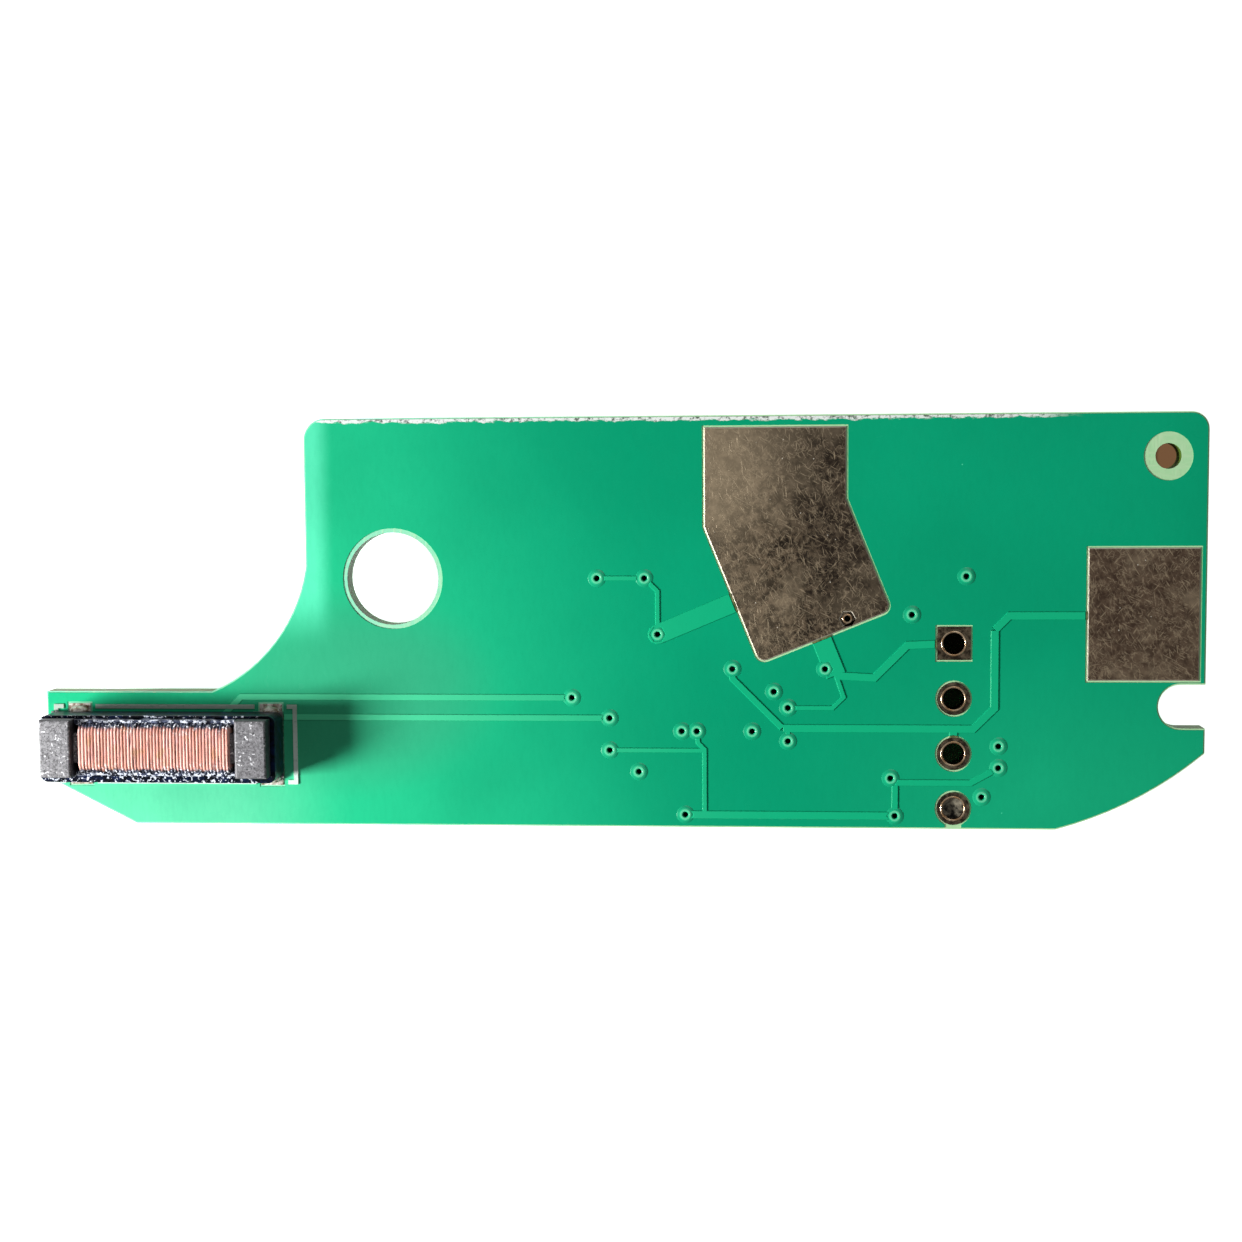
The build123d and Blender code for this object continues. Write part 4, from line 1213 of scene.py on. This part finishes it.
def filletAt(low, high, outward):
    # a sloped wedge from the land to the end cap; outward is a unit step in the plane
    reach, rise = filletLook["reach"] * mm, filletLook["rise"] * mm
    length, breadth = high.x - low.x, high.y - low.y
    if abs(outward.x) <= abs(outward.y):
        length, breadth = breadth, length
    clearSelection()
    bpy.ops.mesh.primitive_cube_add(size=1, location=(0, 0, 0))
    wedge = bpy.context.object
    wedge.scale = (reach, breadth * filletLook["width"], rise)
    applyPlace()
    editAll()
    bpy.ops.mesh.subdivide(number_cuts=filletLook["cuts"])
    leaveEdit()
    # hollow slope, which narrows outwards
    for point in wedge.data.vertices:
        share = point.co.x / reach + 0.5
        drop = 0.5 - point.co.z / rise
        slope = (1 - share) ** filletLook["hollow"]
        point.co.z = -drop * (rise * slope + filletLook["foot"] * mm)
        point.co.y *= 1 - filletLook["taper"] * share * share
    centre = (low + high) / 2 + Vector((outward.x, outward.y, 0)) * (length + reach) / 2
    wedge.rotation_euler = (0, 0, math.atan2(outward.y, outward.x))
    wedge.location = (centre.x, centre.y, landLevel)
    return wedge


fillets = []
for kind in ("capacitor", "resistor", "inductor"):
    bodies = islandsOf(f"{kind}_bodies")
    for low, high, middle in islandsOf(f"{kind}_ends"):
        nearest = min(bodies, key=lambda item: (item[2].xy - middle.xy).length)
        away = (middle.xy - nearest[2].xy).normalized()
        fillets.append(filletAt(low, high, away))
fillets = settle(joined(fillets), "endFillets", "solder", angle=50)
print("fillets done", len(fillets.data.polygons))

# ---- rivet heads that hold each switch cover ----
rivetLook = {"radius": 0.32, "rise": 0.1, "inset": 0.62, "sides": 20, "ease": 0.04}


def rivetHead(place):
    clearSelection()
    bpy.ops.mesh.primitive_cylinder_add(
        vertices=rivetLook["sides"],
        radius=rivetLook["radius"] * mm,
        depth=rivetLook["rise"] * mm,
        location=place,
    )
    head = bpy.context.object
    soften = head.modifiers.new("soften", "BEVEL")
    soften.width = rivetLook["ease"] * mm
    soften.segments = 2
    applyModifiers(head)
    return head


rivets = []
for number in (1, 2, 3):
    low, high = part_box(f"switch_{number}_cover")
    inset = rivetLook["inset"] * mm
    for x in (low.x + inset, high.x - inset):
        rivets += [rivetHead((x, y, low.z)) for y in (low.y + inset, high.y - inset)]
rivets = settle(joined(rivets), "coverRivets", "caseBlack", angle=40)
print("rivets done")

# ---- camera ----
view = {
    "focal": 57.97,
    "sensor": 36.0,
    "clip": (0.002, 10),
    "place": (7.70, 7.545, 95.14),
    "tilt": 0.08066956,
    "lean": -0.07926279,
    "roll": 0.00701837,
}
lens = bpy.data.cameras.new("camera")
lens.lens = view["focal"]
lens.sensor_width = view["sensor"]
lens.clip_start, lens.clip_end = view["clip"]
camera = bpy.data.objects.new("camera", lens)
bpy.context.scene.collection.objects.link(camera)
aim = Matrix.Rotation(view["roll"], 3, "Z")
aim = aim @ Matrix.Rotation(view["tilt"], 3, "X") @ Matrix.Rotation(view["lean"], 3, "Y")
camera.matrix_world = Matrix.Translation(Vector(view["place"]) * mm) @ aim.transposed().to_4x4()
bpy.context.scene.camera = camera

# ---- floor, light and background ----
studio = {
    "floorSize": 3.0,
    "floorColour": (246, 246, 244),
    "floorPale": (250, 250, 248),
    "floorGlow": 0.94,
    "glowColour": (255, 255, 255),
    "floorShadeUnder": (58, 44, 32),
    "holeBrown": (158, 114, 80),
    "holeGlow": 0.5,
    "fade": 1.2,
    "keyPlace": (-168, -42, 88),
    "keyAim": (-2, 0, 0),
    "keySize": 0.05,
    "keyPower": 0.75,
    "fillPlace": (60, 140, 200),
    "fillAim": (0, 0, 0),
    "fillSize": 0.12,
    "fillPower": 0.06,
    "skyColour": (1.0, 1.0, 1.0, 1.0),
    "skyStrength": 0.12,
}
clearSelection()
bpy.ops.mesh.primitive_plane_add(size=studio["floorSize"], location=(0, 0, 0))
floor = bpy.context.object
floor.name = "floor"
floorPaint, shader, place = startMaterial("floorPaint", 0.9, specular=0.1)
paper = noiseOf(place, 0.01, 3.0)
floorX, floorY = partsOf(place)[:2]


def inside(low, high):
    # 1 inside the rectangle given in millimetres, fading to 0 at its border
    soft = studio["fade"]
    first = patchOf(floorX, floorY, (low[0], low[0] + soft), (low[1], low[1] + soft))
    last = patchOf(floorX, floorY, (high[0], high[0] - soft), (high[1], high[1] - soft))
    return times(first, last)


def nearMount(mount, wide, narrow, shift=0.0):
    # 1 close to a mount of the record, fading to 0 between the two radii
    spot = [item["pos_m"] for item in frame["record"]["mounts"] if item["name"] == mount][0]
    away = awayFrom(floorX, floorY, (spot[0] / mm + shift, spot[1] / mm))
    return rangeOf(away, wide**2, narrow**2)


# the floor glows evenly bright, but where the board covers it the floor is painted dark as its
# shadow and does not glow; the large hole stays open
boardLeft, boardFoot, boardRight, boardTop = (
    value / mm for value in (boardLow.x, boardLow.y, boardHigh.x, boardHigh.y)
)
middlePart = inside((leftEdge + 1.0, boardFoot + 0.6), (boardRight - 8.5, boardTop))
upperPart = inside((leftEdge + 1.0, boardTop - 11.0), (boardRight + 0.75, boardTop))
armPart = inside((boardLeft + 4.0, boardFoot + 2.0), (leftEdge + 3.0, armEdge))
covered = larger(middlePart, upperPart, armPart)
covered = times(covered, minus(1.0, nearMount("post_hole", 3.2, 2.4)))
glow = times(minus(1.0, covered), studio["floorGlow"])
# a painted brown glow on the floor under the small locating hole
brownGlow = times(nearMount("locating_hole", 1.1, 0.8, 1.0), studio["holeGlow"])
glow = larger(glow, brownGlow)
sheet = mixOf(rangeOf(paper, 0.3, 0.7), studio["floorColour"], studio["floorPale"])
glowTint = mixOf(covered, studio["glowColour"], studio["holeBrown"])
# painted shadow: the floor is dark where the board covers it
wire(shader, mixOf(covered, sheet, studio["floorShadeUnder"]))
feed(shader.inputs["Emission Strength"], glow)
feed(shader.inputs["Emission Color"], glowTint)
floor.data.materials.append(floorPaint)


def softBox(kind):
    light = bpy.data.lights.new(f"{kind}Light", "AREA")
    light.shape = "SQUARE"
    light.size = studio[f"{kind}Size"]
    light.energy = studio[f"{kind}Power"]
    lamp = bpy.data.objects.new(f"{kind}Light", light)
    bpy.context.scene.collection.objects.link(lamp)
    lamp.location = Vector(studio[f"{kind}Place"]) * mm
    way = Vector(studio[f"{kind}Aim"]) * mm - lamp.location
    lamp.rotation_euler = way.to_track_quat("-Z", "Y").to_euler()


softBox("key")
softBox("fill")
sky = bpy.data.worlds.new("sky")
sky.use_nodes = True
skyValues = {"Color": studio["skyColour"], "Strength": studio["skyStrength"]}
setInputs(sky.node_tree.nodes["Background"], skyValues)
bpy.context.scene.world = sky
bpy.context.scene.view_settings.view_transform = "Standard"
bpy.context.scene.view_settings.look = "None"
print("studio set")
